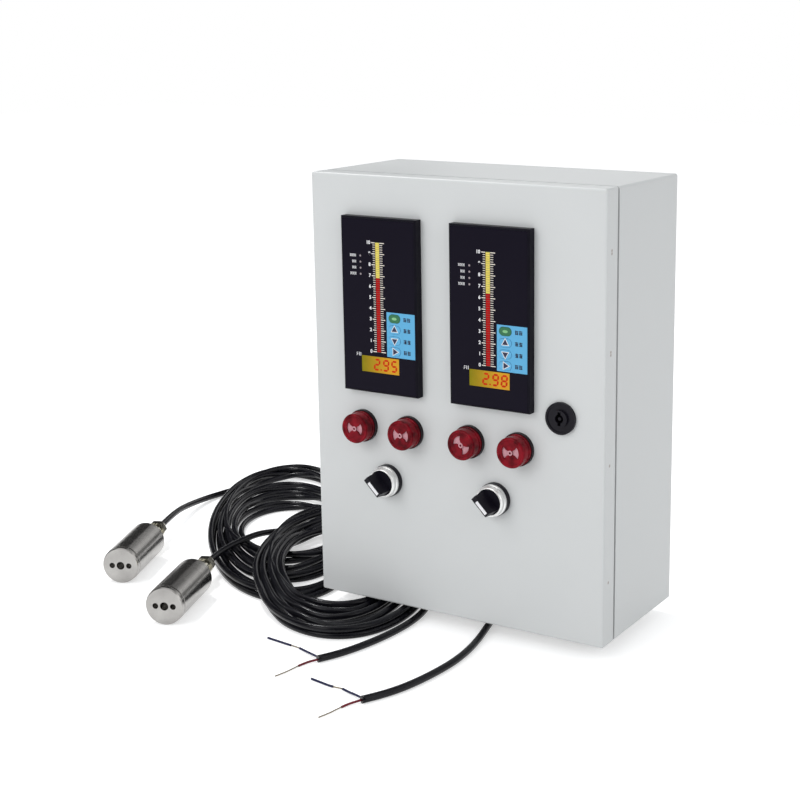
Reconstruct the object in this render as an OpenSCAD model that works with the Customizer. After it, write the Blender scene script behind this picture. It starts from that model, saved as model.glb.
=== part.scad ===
// Water level indicator: a wall box with two bar-graph level meters, four
// buzzer lamps and two selector switches in its door, and two submersible
// level probes on loose cables that lie coiled beside it.
// Frame: X to the right seen from the front, Y towards the wall, Z up. The
// origin is the centre of the wall fixing holes on the outside of the back
// wall. Millimetres.

/* [Cabinet] */
// Width of the cabinet and its door
cab_w = 300; // [290:1:340]
// Height of the cabinet and its door
cab_h = 400; // [392:1:440]
// Depth from the back wall to the front of the shut door
cab_d = 140; // [136:1:180]
// Thickness of the folded steel sheet
sheet_t = 1.5; // [1.2:0.1:1.8]
// Radius of the cabinet's folded corners
bend_r = 2.5; // [2:0.1:3]
// Width of the rim folded in round the mouth
rim_w = 18; // [17:0.5:20]
// Height of the lip that stands forward from the rim
lip_h = 13.2; // [12.2:0.2:13.4]
// Distance of the wall fixing holes from the cabinet's edges
wall_hole_inset = 25; // [22:0.5:27]
// Diameter of the wall fixing holes
wall_hole_d = 8.5; // [6:0.5:9]

/* [Door] */
// Depth of the door's folded tray
door_depth = 20; // [19:0.5:21]
// Gap between the door's rear edge and the cabinet's rim
door_gap = 3; // [2.8:0.1:3.6]
// Radius of the door's front edges
door_edge_r = 2; // [1.6:0.1:2.4]
// Width of the foam gasket
gasket_w = 8; // [6:0.5:9]
// Gap between the gasket and the lip
gasket_gap = 0.3; // [0.2:0.1:0.5]
// Distance of each hinge from the door's end
hinge_inset = 70; // [60:1:100]
// Diameter of the hinge pins
hinge_pin_d = 4; // [3.6:0.1:4.4]

/* [Lock] */
// Distance of the lock's centre from the door's right edge
lock_inset = 41.5; // [38:0.5:45]
// Lock centre above the door's middle
lock_z = 2; // [-20:1:20]
// Diameter of the lock's front flange
lock_flange_d = 28.5; // [26:0.5:30]
// Length of the cam from the lock's centre
cam_reach = 34; // [30:0.5:36]

/* [Meters] */
// Middle of the pair of meters, across
meter_mid_x = -15; // [-18:0.5:-10]
// Distance between the two meters' centres
meter_pitch = 114; // [100:0.5:118]
// Distance of the meters' centres below the door's top edge
meter_drop = 116.5; // [112:0.5:120]
// Width of a meter's front frame
bezel_w = 80; // [80:0.2:82]
// Height of a meter's front frame
bezel_h = 160; // [159:0.5:162]
// How far the front frame stands out of the door
bezel_t = 9; // [8:0.25:10]
// Chamfer round the front frame
bezel_chamfer = 1.2; // [0.6:0.1:1.4]
// Depth of a meter's case behind the door's face
case_depth = 80; // [60:1:84]
// Travel of a meter key
key_travel = 0.5; // [0.3:0.05:0.5]

/* [Buzzer lamps and selectors] */
// Distance between the two lamps under a meter
lamp_pitch = 50; // [40:0.5:51]
// Distance of the lamps below the meters' centres
lamp_drop = 114.5; // [111:0.5:117]
// Diameter of a lamp's lens
lens_d = 28; // [25:0.25:28.5]
// Length of a lamp's lens
lens_l = 12.5; // [11:0.5:16]
// Diameter of the lamp and selector barrels
barrel_d = 22; // [21.6:0.1:22.2]
// Sideways shift of a selector from its meter's centre
selector_shift = 1; // [0:0.5:8]
// Distance of the selectors below the meters' centres
selector_drop = 163.5; // [161:0.5:173]
// Diameter of a selector's metal ring
ring_d = 29; // [28:0.5:30]
// Length of a selector's handle
handle_l = 21.5; // [20:0.5:21.5]

/* [Inside] */
// Distance from the mounting plate to the cabinet's sides and ends
plate_margin = 35; // [33:0.5:50]
// Distance from the back wall's inside to the mounting plate
plate_standoff = 10; // [8:0.5:12]
// Distance of the terminal rail above the mounting plate's lower edge
rail_rise = 45; // [40:1:50]
// Number of terminals on the rail
terminal_count = 10; // [6:1:12]

/* [Base] */
// Height of the rubber feet
foot_h = 14; // [13.5:0.5:17]
// Diameter of the rubber feet
foot_d = 18; // [14:0.5:20]
// Diameter of a cable entry's bore
entry_bore_d = 12; // [8:0.5:14]

/* [Probes] */
// Diameter of a level probe
probe_d = 37; // [32:0.5:40]
// Length of a level probe
probe_length = 80; // [76:1:92]
// Diameter of the middle pressure port
port_d = 8; // [6:0.25:8.5]
// Diameter of the side pressure ports
side_port_d = 5.6; // [4:0.2:6]
// Distance of a side port from the middle
side_port_r = 8.5; // [8.5:0.25:11]

/* [Cables] */
// Diameter of the cable jacket
cable_d = 6.5; // [6:0.1:6.6]
// Diameter of an insulated wire
wire_d = 1.7; // [1.4:0.1:2]

/* [Hidden] */
$fn = 48;

// Planes across the depth, from the front back to the wall
y_front = -cab_d;
y_panel_back = y_front + sheet_t;
y_door_rear = y_front + door_depth;
y_rim = y_door_rear + door_gap;
y_rim_back = y_rim + sheet_t;
y_lip = y_rim - lip_h;
y_back_inside = -sheet_t;
z_bottom = -cab_h / 2;
z_floor = z_bottom - foot_h;
eps = 0.01;

// Clearances
run_gap = 0.05;
seat_gap = 0.3;
press_gap = 0.01;

// Colours as the photograph shows them
paint_grey = [0.80, 0.82, 0.82];
black_plastic = [0.09, 0.08, 0.10];
zinc = [0.72, 0.73, 0.74];
steel = [0.66, 0.65, 0.63];
rubber_black = [0.06, 0.06, 0.07];

// Flat rounded outline in X and Z, from plane y0 back to plane y1
module slab(w, h, y0, y1, r = 0) {
    translate([0, y1, 0]) rotate([90, 0, 0]) linear_extrude(y1 - y0) {
        if (r > 0) {
            square([w - 2 * r, h], center = true);
            square([w, h - 2 * r], center = true);
            for (sx = [-1, 1], sz = [-1, 1])
                translate([sx * (w / 2 - r), sz * (h / 2 - r)]) circle(r);
        } else {
            square([w, h], center = true);
        }
    }
}

// Round bar along Y, from plane y0 back to plane y1
module bar_y(d, y0, y1, fn = $fn) {
    translate([0, y1, 0]) rotate([90, 0, 0]) cylinder(d = d, h = y1 - y0, $fn = fn);
}

// Turned shape along Y: profile points are [radius, y]
module turned_y(profile) {
    rotate([90, 0, 0]) rotate_extrude() polygon([for (p = profile) [p[0], -p[1]]]);
}

// Places on the door
meter_x = [meter_mid_x - meter_pitch / 2, meter_mid_x + meter_pitch / 2];
lamp_x = [
    meter_x[0] - lamp_pitch / 2, meter_x[0] + lamp_pitch / 2,
    meter_x[1] - lamp_pitch / 2, meter_x[1] + lamp_pitch / 2
];
selector_x = [meter_x[0] + selector_shift, meter_x[1] + selector_shift];
meter_z = cab_h / 2 - meter_drop;
lamp_z = meter_z - lamp_drop;
selector_z = meter_z - selector_drop;
lock_x = cab_w / 2 - lock_inset;
hinge_z = cab_h / 2 - hinge_inset;

module at_meter(i) { translate([meter_x[i], 0, meter_z]) children(); }
module at_lamp(i) { translate([lamp_x[i], 0, lamp_z]) children(); }
module at_selector(i) { translate([selector_x[i], 0, selector_z]) children(); }
module at_lock() { translate([lock_x, 0, lock_z]) children(); }

// Cabinet: folded and welded sheet
mouth_w = cab_w - 2 * rim_w;
mouth_h = cab_h - 2 * rim_w;
stud_d = 6;
stud_boss_d = 12;
stud_inset = 10;
plate_w = cab_w - 2 * plate_margin;
plate_h = cab_h - 2 * plate_margin;
wall_hole_x = cab_w / 2 - wall_hole_inset;
wall_hole_z = cab_h / 2 - wall_hole_inset;
stud_x = plate_w / 2 - stud_inset;
stud_z = plate_h / 2 - stud_inset;
plate_t = 2;
y_plate_back = y_back_inside - plate_standoff;
y_plate_front = y_plate_back - plate_t;
plate_nut_t = 5;
plate_nut_across = 11.5;
stud_end = 2;
entry_x = 45;
entry_y = -cab_d / 2;
entry_wall_d = entry_bore_d + 8;
foot_stem_d = 6;
foot_edge = 17;
foot_side = 28;
foot_front_x = cab_w / 2 - foot_side;
foot_rear_x = 62;
foot_front_y = y_rim + foot_edge;
foot_rear_y = -foot_edge;
foot_places = [
    [-foot_front_x, foot_front_y], [foot_front_x, foot_front_y],
    [-foot_rear_x, foot_rear_y], [foot_rear_x, foot_rear_y]
];

module cabinet() color(paint_grey) {
    difference() {
        union() {
            difference() {
                slab(cab_w, cab_h, y_rim, 0, bend_r);
                slab(cab_w - 2 * sheet_t, cab_h - 2 * sheet_t, y_rim_back, y_back_inside,
                    bend_r - sheet_t / 2);
                slab(mouth_w, mouth_h, y_rim - 1, y_rim_back + 1, sheet_t);
            }
            difference() {
                slab(mouth_w + 2 * sheet_t, mouth_h + 2 * sheet_t, y_lip, y_rim_back, 2 * sheet_t);
                slab(mouth_w, mouth_h, y_lip - 1, y_rim_back + 1, sheet_t);
            }
            for (sx = [-1, 1], sz = [-1, 1]) translate([sx * stud_x, 0, sz * stud_z]) {
                bar_y(stud_boss_d, y_plate_back, y_back_inside + eps);
                bar_y(stud_d, y_plate_front - plate_nut_t - stud_end, y_plate_back + eps);
            }
        }
        for (sx = [-1, 1], sz = [-1, 1])
            translate([sx * wall_hole_x, 0, sz * wall_hole_z])
                bar_y(wall_hole_d, -2 * sheet_t, 1);
        for (sx = [-1, 1]) translate([sx * entry_x, entry_y, z_bottom - 1])
            cylinder(d = entry_wall_d, h = sheet_t + 2);
        for (p = foot_places) translate([p[0], p[1], z_bottom - 1])
            cylinder(d = foot_stem_d + 2 * press_gap, h = sheet_t + 2);
    }
}

// Door: a folded tray, cut out for what it carries
cut_gap = 0.5;
case_w = bezel_w - 5;
case_h = bezel_h - 9;
lock_barrel_d = 20;

module door() color(paint_grey) {
    r = door_edge_r;
    flat_w = cab_w - 2 * r;
    flat_h = cab_h - 2 * r;
    difference() {
        union() {
            slab(cab_w, cab_h, y_front + r, y_door_rear, r);
            slab(flat_w, flat_h, y_front, y_door_rear);
            for (s = [-1, 1]) {
                translate([-flat_w / 2, y_front + r, s * flat_h / 2])
                    rotate([0, 90, 0]) cylinder(r = r, h = flat_w);
                translate([s * flat_w / 2, y_front + r, -flat_h / 2]) cylinder(r = r, h = flat_h);
                for (u = [-1, 1])
                    translate([s * flat_w / 2, y_front + r, u * flat_h / 2]) sphere(r = r);
            }
        }
        slab(cab_w - 2 * sheet_t, cab_h - 2 * sheet_t, y_panel_back, y_door_rear + 1, 1);
        for (i = [0, 1]) {
            at_meter(i) slab(case_w + 2 * cut_gap, case_h + 2 * cut_gap, y_front - 1, y_panel_back + 1);
            at_selector(i) bar_y(barrel_d + 2 * cut_gap, y_front - 1, y_panel_back + 1);
        }
        for (i = [0:3]) at_lamp(i) bar_y(barrel_d + 2 * cut_gap, y_front - 1, y_panel_back + 1);
        at_lock() bar_y(lock_barrel_d + 2 * cut_gap, y_front - 1, y_panel_back + 1);
    }
}

// Gasket: foam strip foamed round the inside of the door, facing the lip
module door_gasket() color([0.16, 0.16, 0.17]) {
    mid_w = mouth_w + sheet_t;
    mid_h = mouth_h + sheet_t;
    difference() {
        slab(mid_w + gasket_w, mid_h + gasket_w, y_panel_back, y_lip - gasket_gap, 3);
        slab(mid_w - gasket_w, mid_h - gasket_w, y_panel_back - 1, y_lip + 1, 2);
    }
}

// Hinges: the pin stands inside the door's tray, beside its left edge
axis_x = -cab_w / 2 + 6;
axis_y = y_rim - 10;
knuckle_d = hinge_pin_d + 4;
frame_knuckle_l = 19;
door_knuckle_l = 15;
knuckle_gap = 0.5;
leaf_t = 1.5;
pin_end = 1;
knuckle_out = frame_knuckle_l / 2 + knuckle_gap;
pin_l = 2 * (knuckle_out + door_knuckle_l + pin_end);
lip_side = -mouth_w / 2 - sheet_t;

module at_hinge(s) { translate([axis_x, axis_y, s * hinge_z]) children(); }

module hinge_frame_leaf(s) color(zinc) at_hinge(s) {
    plate_x = lip_side - axis_x - leaf_t;
    difference() {
        union() {
            translate([0, 0, -frame_knuckle_l / 2]) cylinder(d = knuckle_d, h = frame_knuckle_l);
            translate([0, -1, -frame_knuckle_l / 2]) cube([plate_x + leaf_t, 2, frame_knuckle_l]);
            translate([plate_x, -2.5, -frame_knuckle_l / 2 - 5])
                cube([leaf_t, 11, frame_knuckle_l + 10]);
        }
        translate([0, 0, -frame_knuckle_l]) cylinder(d = hinge_pin_d + 2 * press_gap,
            h = 2 * frame_knuckle_l);
    }
}

module hinge_door_leaf(s) color(zinc) at_hinge(s) {
    leaf_x = -knuckle_d / 2;
    leaf_w = lip_side - gasket_w / 2 - 1.5 - axis_x - leaf_x;
    leaf_y = y_panel_back - axis_y;
    difference() {
        union() {
            for (u = [-1, 1])
                translate([0, 0, u > 0 ? knuckle_out : -knuckle_out - door_knuckle_l]) {
                    cylinder(d = knuckle_d, h = door_knuckle_l);
                    translate([leaf_x, leaf_y, 0]) cube([knuckle_d, -leaf_y, door_knuckle_l]);
                }
            translate([leaf_x, leaf_y, -knuckle_out - door_knuckle_l])
                cube([leaf_w, leaf_t, 2 * (knuckle_out + door_knuckle_l)]);
        }
        translate([0, 0, -pin_l]) cylinder(d = hinge_pin_d + 2 * run_gap, h = 2 * pin_l);
    }
}

module hinge_pins() color(steel)
    for (s = [-1, 1]) at_hinge(s) translate([0, 0, -pin_l / 2]) cylinder(d = hinge_pin_d, h = pin_l);

// Quarter-turn lock: a flanged body, a turning core and a cam behind the rim
lock_flange_t = 2.2;
lock_rim_t = 0.8;
core_d = 12.3;
core_head_d = 15;
core_head_t = 2;
cam_gap = 2;
cam_t = 2.5;
cam_w = 14;
core_square = 8;
y_cam = y_rim_back + cam_gap;
y_lock_face = y_front - lock_flange_t;

module lock_body() color(black_plastic) at_lock() difference() {
    union() {
        bar_y(lock_flange_d, y_lock_face, y_front);
        difference() {
            bar_y(lock_flange_d, y_lock_face - lock_rim_t, y_front);
            bar_y(lock_flange_d - 4, y_lock_face - 1, y_front + 1);
        }
        bar_y(lock_barrel_d, y_front - eps, y_cam - seat_gap);
    }
    bar_y(core_d + 2 * run_gap, y_lock_face - 2, y_cam + 1);
}

module lock_core() color(black_plastic) at_lock() {
    y_head = y_lock_face - seat_gap - core_head_t;
    difference() {
        union() {
            bar_y(core_head_d, y_head, y_head + core_head_t);
            bar_y(core_d, y_head, y_cam);
        }
        bar_y(8, y_head - 1, y_head + 8);
        translate([-1.5, y_head - 1, -6]) cube([3, 5, 12]);
    }
    bar_y(3, y_head + 1, y_head + 8 + eps);
    translate([-core_square / 2, y_cam - eps, -core_square / 2])
        cube([core_square, cam_t + 2 * eps, core_square]);
    bar_y(core_head_d * 0.8, y_cam + cam_t, y_cam + cam_t + 4, 6);
}

module lock_cam() color(zinc) at_lock() difference() {
    union() {
        translate([-cam_w / 2, y_cam, 0]) cube([cam_w, cam_t, cam_reach]);
        bar_y(cam_w, y_cam, y_cam + cam_t);
    }
    hole = core_square + 2 * press_gap;
    translate([-hole / 2, y_cam - 1, -hole / 2]) cube([hole, cam_t + 2, hole]);
}

// Ring nuts that hold the lamps, the selectors and the lock in the door
nut_t = 5;
nut_across = 31;

module ring_nut(bore) difference() {
    bar_y(nut_across, y_panel_back, y_panel_back + nut_t, 6);
    bar_y(bore + 2 * press_gap, y_panel_back - 1, y_panel_back + nut_t + 1);
}

module panel_nuts() color(black_plastic) {
    for (i = [0:3]) at_lamp(i) ring_nut(barrel_d);
    for (i = [0, 1]) at_selector(i) ring_nut(barrel_d);
    at_lock() difference() {
        bar_y(lock_barrel_d + 7, y_panel_back, y_panel_back + nut_t, 6);
        bar_y(lock_barrel_d + 2 * press_gap, y_panel_back - 1, y_panel_back + nut_t + 1);
    }
}

// Bar-graph meter: front frame, face film, display board, case and four keys
face_inset = 1.7;
face_t = 1;
ledge_t = 4.5;
board_t = 1.6;
case_wall = 2;
fit_gap = 0.2;
y_bezel = y_front - bezel_t;
y_face_back = y_bezel + face_t;
y_board = y_bezel + face_t + ledge_t;
y_case = y_board + board_t;
y_case_end = y_front + case_depth;
bar_w = 4.1;
bar_h = 100;
bar_x = -0.5;
bar_z = 8;
window_w = 40.3;
window_h = 14.7;
window_x = 0.5;
window_z = -53.5;
key_x = 16.6;
key_top_z = -9.5;
key_pitch = 10;
key_w = 12;
key_h = 7.4;
key_proud = 0.3;
key_flange = 0.8;
strip_w = 12;
strip_t = 10;
strip_margin = 10;
strip_screws = 13;
strip_pitch = 10;
strip_screw_d = 5;
strip_screw_depth = 6;

module bezel_chamfers() {
    c = bezel_chamfer;
    for (s = [0, 180]) rotate([0, s, 0]) {
        translate([bezel_w / 2, y_bezel, 0]) rotate([0, 0, 45])
            cube([c * sqrt(2), c * sqrt(2), bezel_h + 2], center = true);
        translate([0, y_bezel, bezel_h / 2]) rotate([45, 0, 0])
            cube([bezel_w + 2, c * sqrt(2), c * sqrt(2)], center = true);
    }
}

module meter_bezel(i) color(black_plastic) at_meter(i) difference() {
    slab(bezel_w, bezel_h, y_bezel, y_front);
    bezel_chamfers();
    slab(bezel_w - 2 * face_inset, bezel_h - 2 * face_inset, y_bezel - 1, y_face_back);
    slab(case_w - 5, case_h - 5, y_face_back - 1, y_front + 1);
    slab(case_w + 2 * fit_gap, case_h + 2 * fit_gap, y_board, y_front + 1);
}

module key_outline(grow, y0, y1) slab(key_w + 2 * grow, key_h + 2 * grow, y0, y1,
    key_h / 2 + grow - eps);

module at_key(k) { translate([key_x, 0, key_top_z - k * key_pitch]) children(); }

module meter_face(i) color([0.12, 0.10, 0.14]) at_meter(i) difference() {
    slab(bezel_w - 2 * face_inset - 2 * fit_gap, bezel_h - 2 * face_inset - 2 * fit_gap,
        y_bezel, y_face_back);
    translate([bar_x, 0, bar_z]) slab(bar_w + 2 * fit_gap, bar_h + 2 * fit_gap,
        y_bezel - 1, y_face_back + 1);
    translate([window_x, 0, window_z]) slab(window_w + 2 * fit_gap, window_h + 2 * fit_gap,
        y_bezel - 1, y_face_back + 1);
    for (k = [0:3]) at_key(k) key_outline(seat_gap, y_bezel - 1, y_face_back + 1);
}

module meter_board(i) color([0.10, 0.30, 0.18]) at_meter(i) {
    slab(case_w, case_h, y_board, y_case);
    translate([bar_x, 0, bar_z]) slab(bar_w, bar_h, y_bezel + fit_gap, y_board + eps);
    translate([window_x, 0, window_z]) slab(window_w, window_h, y_bezel + fit_gap, y_board + eps);
    for (k = [0:3]) at_key(k)
        bar_y(5, y_face_back + seat_gap + key_flange + key_travel + fit_gap, y_board + eps);
}

module meter_key(i, k) color([0.42, 0.74, 0.90]) at_meter(i) at_key(k) {
    key_outline(0, y_bezel - key_proud, y_face_back + seat_gap + eps);
    key_outline(1, y_face_back + seat_gap, y_face_back + seat_gap + key_flange);
}

module meter_case(i) color(black_plastic) at_meter(i) {
    difference() {
        slab(case_w, case_h, y_case, y_case_end);
        slab(case_w - 2 * case_wall, case_h - 2 * case_wall, y_case - 1, y_case_end - case_wall);
    }
    for (s = [-1, 1]) translate([s * (case_w / 2 - strip_w), 0, 0]) difference() {
        slab(strip_w, case_h - 2 * strip_margin, y_case_end - eps, y_case_end + strip_t);
        for (k = [0:strip_screws - 1])
            translate([0, 0, (k - (strip_screws - 1) / 2) * strip_pitch])
                bar_y(strip_screw_d, y_case_end + strip_t - strip_screw_depth,
                    y_case_end + strip_t + 1);
    }
}

// Screw clamps that pull each meter back against the door
clamp_w = 14;
clamp_h = 7;
clamp_l = 30;
clamp_screw_l = 12;

module meter_clamps() color(zinc)
    for (i = [0, 1], s = [-1, 1]) at_meter(i)
        translate([0, y_panel_back + clamp_screw_l, s * (case_h / 2 + clamp_h / 2)]) {
            translate([-clamp_w / 2, 0, -clamp_h / 2]) cube([clamp_w, clamp_l, clamp_h]);
            bar_y(4, -clamp_screw_l, eps);
        }

// Buzzer lamp: a barrel with a collar, and a stepped lens with a sound port
collar_d = 30;
collar_t = 4;
barrel_l = 35;
lamp_tail_l = 8;
lamp_tail_w = 14;
lens_wall = 1.6;
lens_step = 3;
port_reach = 8.4;
port_half = 41;
port_turn = [0, 0, 42, -5];
y_collar = y_front - collar_t;
y_lens = y_collar - lens_l;

module buzzer_body(i) color([0.10, 0.05, 0.06]) at_lamp(i) {
    bar_y(collar_d, y_collar, y_front);
    bar_y(barrel_d, y_front - eps, y_front + barrel_l);
    bar_y(lens_d - 2 * lens_wall - 5, y_lens + lens_wall + seat_gap, y_collar + eps);
    translate([-lamp_tail_w / 2, y_front + barrel_l - eps, -lamp_tail_w / 2])
        cube([lamp_tail_w, lamp_tail_l, lamp_tail_w]);
}

module sound_port() for (s = [0, 180]) rotate([0, s, 0]) translate([0, y_lens + 3, 0])
    rotate([90, 0, 0]) linear_extrude(4) polygon(concat(
        [[4.3, 2.9], [1.7, 1.6], [1.7, -1.6], [4.3, -2.9]],
        [for (a = [-port_half:port_half / 4:port_half]) [port_reach * cos(a), port_reach * sin(a)]]
    ));

module buzzer_lens(i) color([0.62, 0.10, 0.12, 0.8]) at_lamp(i) {
    r = lens_d / 2;
    difference() {
        turned_y([
            [r + 0.3, y_collar], [r + 0.3, y_collar - lens_step], [r - 0.2, y_collar - lens_step],
            [r - 0.2, y_lens + 1.2], [r - 0.6, y_lens + 0.3], [r - 1.4, y_lens],
            [r - 2.6, y_lens], [r - 3.2, y_lens + 0.6], [2.4, y_lens + 0.6], [2.0, y_lens + 0.2],
            [0.9, y_lens + 0.2], [0.9, y_lens + lens_wall + 0.2],
            [r - lens_wall - 0.6, y_lens + lens_wall + 0.2], [r - lens_wall, y_lens + 3],
            [r - lens_wall, y_collar]
        ]);
        rotate([0, port_turn[i], 0]) sound_port();
    }
}

// Selector switch: a barrel with its contact block, a metal ring and a knob
base_t = 5;
ring_t = 8;
ring_bore_d = 23.8;
knob_d = 23;
knob_step = 0.5;
handle_h = 14.5;
handle_top_l = 20;
handle_w = 8;
handle_top_w = 5;
knob_turn = -45;
spindle_d = 8;
spindle_l = 14;
block_w = 30;
block_h = 40;
block_l = 26;
selector_barrel_l = 28;
y_base = y_front - base_t;
y_ring = y_base - ring_t;
y_handle = y_ring + knob_step - handle_h;

module selector_body(i) color(black_plastic) at_selector(i) difference() {
    union() {
        bar_y(collar_d, y_base, y_front);
        bar_y(barrel_d, y_front - eps, y_front + selector_barrel_l);
        slab(block_w, block_h, y_front + selector_barrel_l - eps,
            y_front + selector_barrel_l + block_l, 2);
    }
    bar_y(spindle_d + 2 * run_gap, y_base - 1, y_base + spindle_l + 1);
}

module selector_ring(i) color([0.86, 0.87, 0.88]) at_selector(i) {
    r = ring_d / 2;
    bore = ring_bore_d / 2;
    turned_y([
        [bore, y_base], [r, y_base], [r, y_base - 2.5], [r - 0.7, y_base - 3], [r - 0.7, y_ring + 1.5],
        [r - 1.4, y_ring + 0.3], [r - 2, y_ring], [bore + 0.2, y_ring], [bore, y_ring + 0.2]
    ]);
}

module selector_knob(i) color(black_plastic) at_selector(i) rotate([0, knob_turn, 0]) {
    bar_y(knob_d, y_ring + knob_step, y_base - seat_gap);
    bar_y(spindle_d, y_base - seat_gap - eps, y_base + spindle_l);
    intersection() {
        handle_side();
        handle_end();
    }
}

module handle_side() translate([0, 0, -handle_l]) linear_extrude(2 * handle_l) polygon([
    [-handle_w / 2, y_ring + knob_step + eps], [handle_w / 2, y_ring + knob_step + eps],
    [handle_top_w / 2, y_handle], [-handle_top_w / 2, y_handle]
]);

module handle_end() translate([-handle_w, 0, 0]) rotate([90, 0, 90])
    linear_extrude(2 * handle_w) polygon([
        [y_ring + knob_step + eps, -handle_l / 2], [y_ring + knob_step + eps, handle_l / 2],
        [y_handle, handle_top_l / 2], [y_handle, -handle_top_l / 2]
    ]);

// Inside: plate, nuts, terminal rail and terminals
rail_length = 180;
rail_z = rail_rise - plate_h / 2;
rail_h = 35;
rail_t = 7.5;
rail_sheet = 1.2;
terminal_w = 5.9;
terminal_pitch = 6.2;
terminal_h = 44;
terminal_l = 38;
rail_hook = 5;
plate_hole_d = 7;

module mounting_plate() color(zinc) difference() {
    slab(plate_w, plate_h, y_plate_front, y_plate_back, 4);
    for (sx = [-1, 1], sz = [-1, 1]) translate([sx * stud_x, 0, sz * stud_z])
        bar_y(plate_hole_d, y_plate_front - 1, y_plate_back + 1);
}

module plate_nuts() color(zinc)
    for (sx = [-1, 1], sz = [-1, 1]) translate([sx * stud_x, 0, sz * stud_z]) difference() {
        bar_y(plate_nut_across, y_plate_front - plate_nut_t, y_plate_front, 6);
        bar_y(stud_d + 2 * press_gap, y_plate_front - plate_nut_t - 1, y_plate_front + 1);
    }

// Section of the top-hat rail, in Y and Z
module terminal_rail() color(zinc) translate([-rail_length / 2, y_plate_front, rail_z])
    rotate([90, 0, 90]) linear_extrude(rail_length) {
        f = rail_h / 2;
        b = f - rail_hook;
        half = [
            [0, b], [rail_sheet - rail_t, b], [rail_sheet - rail_t, f],
            [-rail_t, f], [-rail_t, b - rail_sheet], [-rail_sheet, b - rail_sheet]
        ];
        polygon(concat(half, [for (k = [len(half) - 1:-1:0]) [half[k][0], -half[k][1]]]));
    }

module terminals() color([0.55, 0.57, 0.58])
    for (i = [0:terminal_count - 1])
        translate([(i - (terminal_count - 1) / 2) * terminal_pitch - terminal_w / 2,
            y_plate_front - rail_t, rail_z])
            rotate([90, 0, 90]) linear_extrude(terminal_w) polygon([
                [0, -terminal_h / 2], [0, terminal_h / 2], [-terminal_l * 0.45, terminal_h / 2],
                [-terminal_l, terminal_h / 4], [-terminal_l, -terminal_h / 4],
                [-terminal_l * 0.45, -terminal_h / 2]
            ]);

// Base: cable entries and rubber feet
module entry_grommets() color(rubber_black) {
    bore = entry_bore_d / 2;
    wall = entry_wall_d / 2;
    for (sx = [-1, 1]) translate([sx * entry_x, entry_y, z_bottom])
        rotate_extrude() polygon([
            [bore, -2], [wall + 2, -2], [wall + 2, 0], [wall - press_gap, 0],
            [wall - press_gap, sheet_t], [wall + 2, sheet_t], [wall + 1, sheet_t + 3], [bore, sheet_t + 3]
        ]);
}

module feet() color(rubber_black)
    for (p = foot_places) translate([p[0], p[1], z_bottom]) {
        rotate_extrude() polygon([
            [0, -foot_h], [foot_d / 2 - 1.5, -foot_h], [foot_d / 2, 0], [foot_stem_d / 2, 0],
            [foot_stem_d / 2, sheet_t], [foot_stem_d / 2 + 1, sheet_t],
            [foot_stem_d / 2 - 0.5, sheet_t + 4], [0, sheet_t + 4]
        ]);
    }

// Level probes: each lies on the floor, with its ports forward
probe_nose = [[-354, -200], [-242, -261]];
probe_heading = [113.5, 111];
gland_l = 43;
gland_hex_t = 6;
gland_hex_across = 22;
gland_neck = 27;
gland_neck_d = 14;
gland_nut_end = 35;
gland_nut_across = 19;
gland_grip = 8;
port_depth = 16;
side_port_depth = 12;
probe_r = probe_d / 2;

module at_probe(i) {
    translate([probe_nose[i][0], probe_nose[i][1], z_floor + probe_r])
        rotate([0, 0, probe_heading[i] - 90]) children();
}

module probe_body(i) color(steel) at_probe(i) difference() {
    turned_y([
        [0, 0], [probe_r - 1.2, 0], [probe_r - 0.3, 1], [probe_r - 0.3, 5], [probe_r - 0.8, 5.2],
        [probe_r - 0.8, 6.2], [probe_r, 6.4], [probe_r, probe_length - 1.5], [probe_r - 1.5, probe_length],
        [0, probe_length]
    ]);
    bar_y(port_d, -1, port_depth);
    for (s = [-1, 1]) translate([s * side_port_r, 0, 0]) bar_y(side_port_d, -1, side_port_depth);
}

module probe_gland(i) color([0.80, 0.79, 0.75]) at_probe(i) difference() {
    union() {
        bar_y(gland_hex_across, probe_length, probe_length + gland_hex_t, 6);
        bar_y(gland_neck_d, probe_length + gland_hex_t - eps, probe_length + gland_neck + eps);
        bar_y(gland_nut_across, probe_length + gland_neck, probe_length + gland_nut_end, 6);
        turned_y([
            [0, probe_length + gland_nut_end - eps], [8, probe_length + gland_nut_end - eps],
            [7.4, probe_length + gland_nut_end + 3], [5, probe_length + gland_l],
            [0, probe_length + gland_l]
        ]);
    }
    bar_y(cable_d + 2 * fit_gap, probe_length + gland_l - gland_grip, probe_length + gland_l + 1);
}

// Cables. A coil's lanes are ovals between an inner and an outer one, drawn
// along two directions of the floor: across and along. Each oval is given by
// its least and greatest value along each direction.
across = [0.8645, 0.5025];
along = [-0.596, 0.803];
// Rows: inner oval, outer oval; columns: across from, across to, along from, along to
coil_1_ovals = [[-254, -147, 130, 292], [-284, -116, -5, 443]];
coil_2_ovals = [[-205, -97, -32, 175], [-235, -47, -101, 273]];
// The ovals were laid out from a point on the floor below the box
coil_origin = [-4, -63.5];
// One turn lies this high, and a pile of two turns as high as pile_h
turn_h = cable_d + 0.3;
pile_h = 2 * cable_d + 0.3;
oval_points = 64;

function oval(o, grow, t) =
    let (p = (o[0] + o[1]) / 2 + ((o[1] - o[0]) / 2 + grow) * cos(t))
    let (q = (o[2] + o[3]) / 2 + ((o[3] - o[2]) / 2 + grow) * sin(t))
    coil_origin + p * across + q * along;

function oval_outline(o, grow) = [for (k = [0:oval_points - 1]) oval(o, grow, 360 * k / oval_points)];

module coil_band(ovals, grow, z0, z1) translate([0, 0, z_floor + z0]) difference() {
    linear_extrude(z1 - z0) polygon(oval_outline(ovals[1], cable_d / 2 + grow));
    translate([0, 0, -1]) linear_extrude(z1 - z0 + 2)
        polygon(oval_outline(ovals[0], -cable_d / 2 - grow));
}

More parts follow.
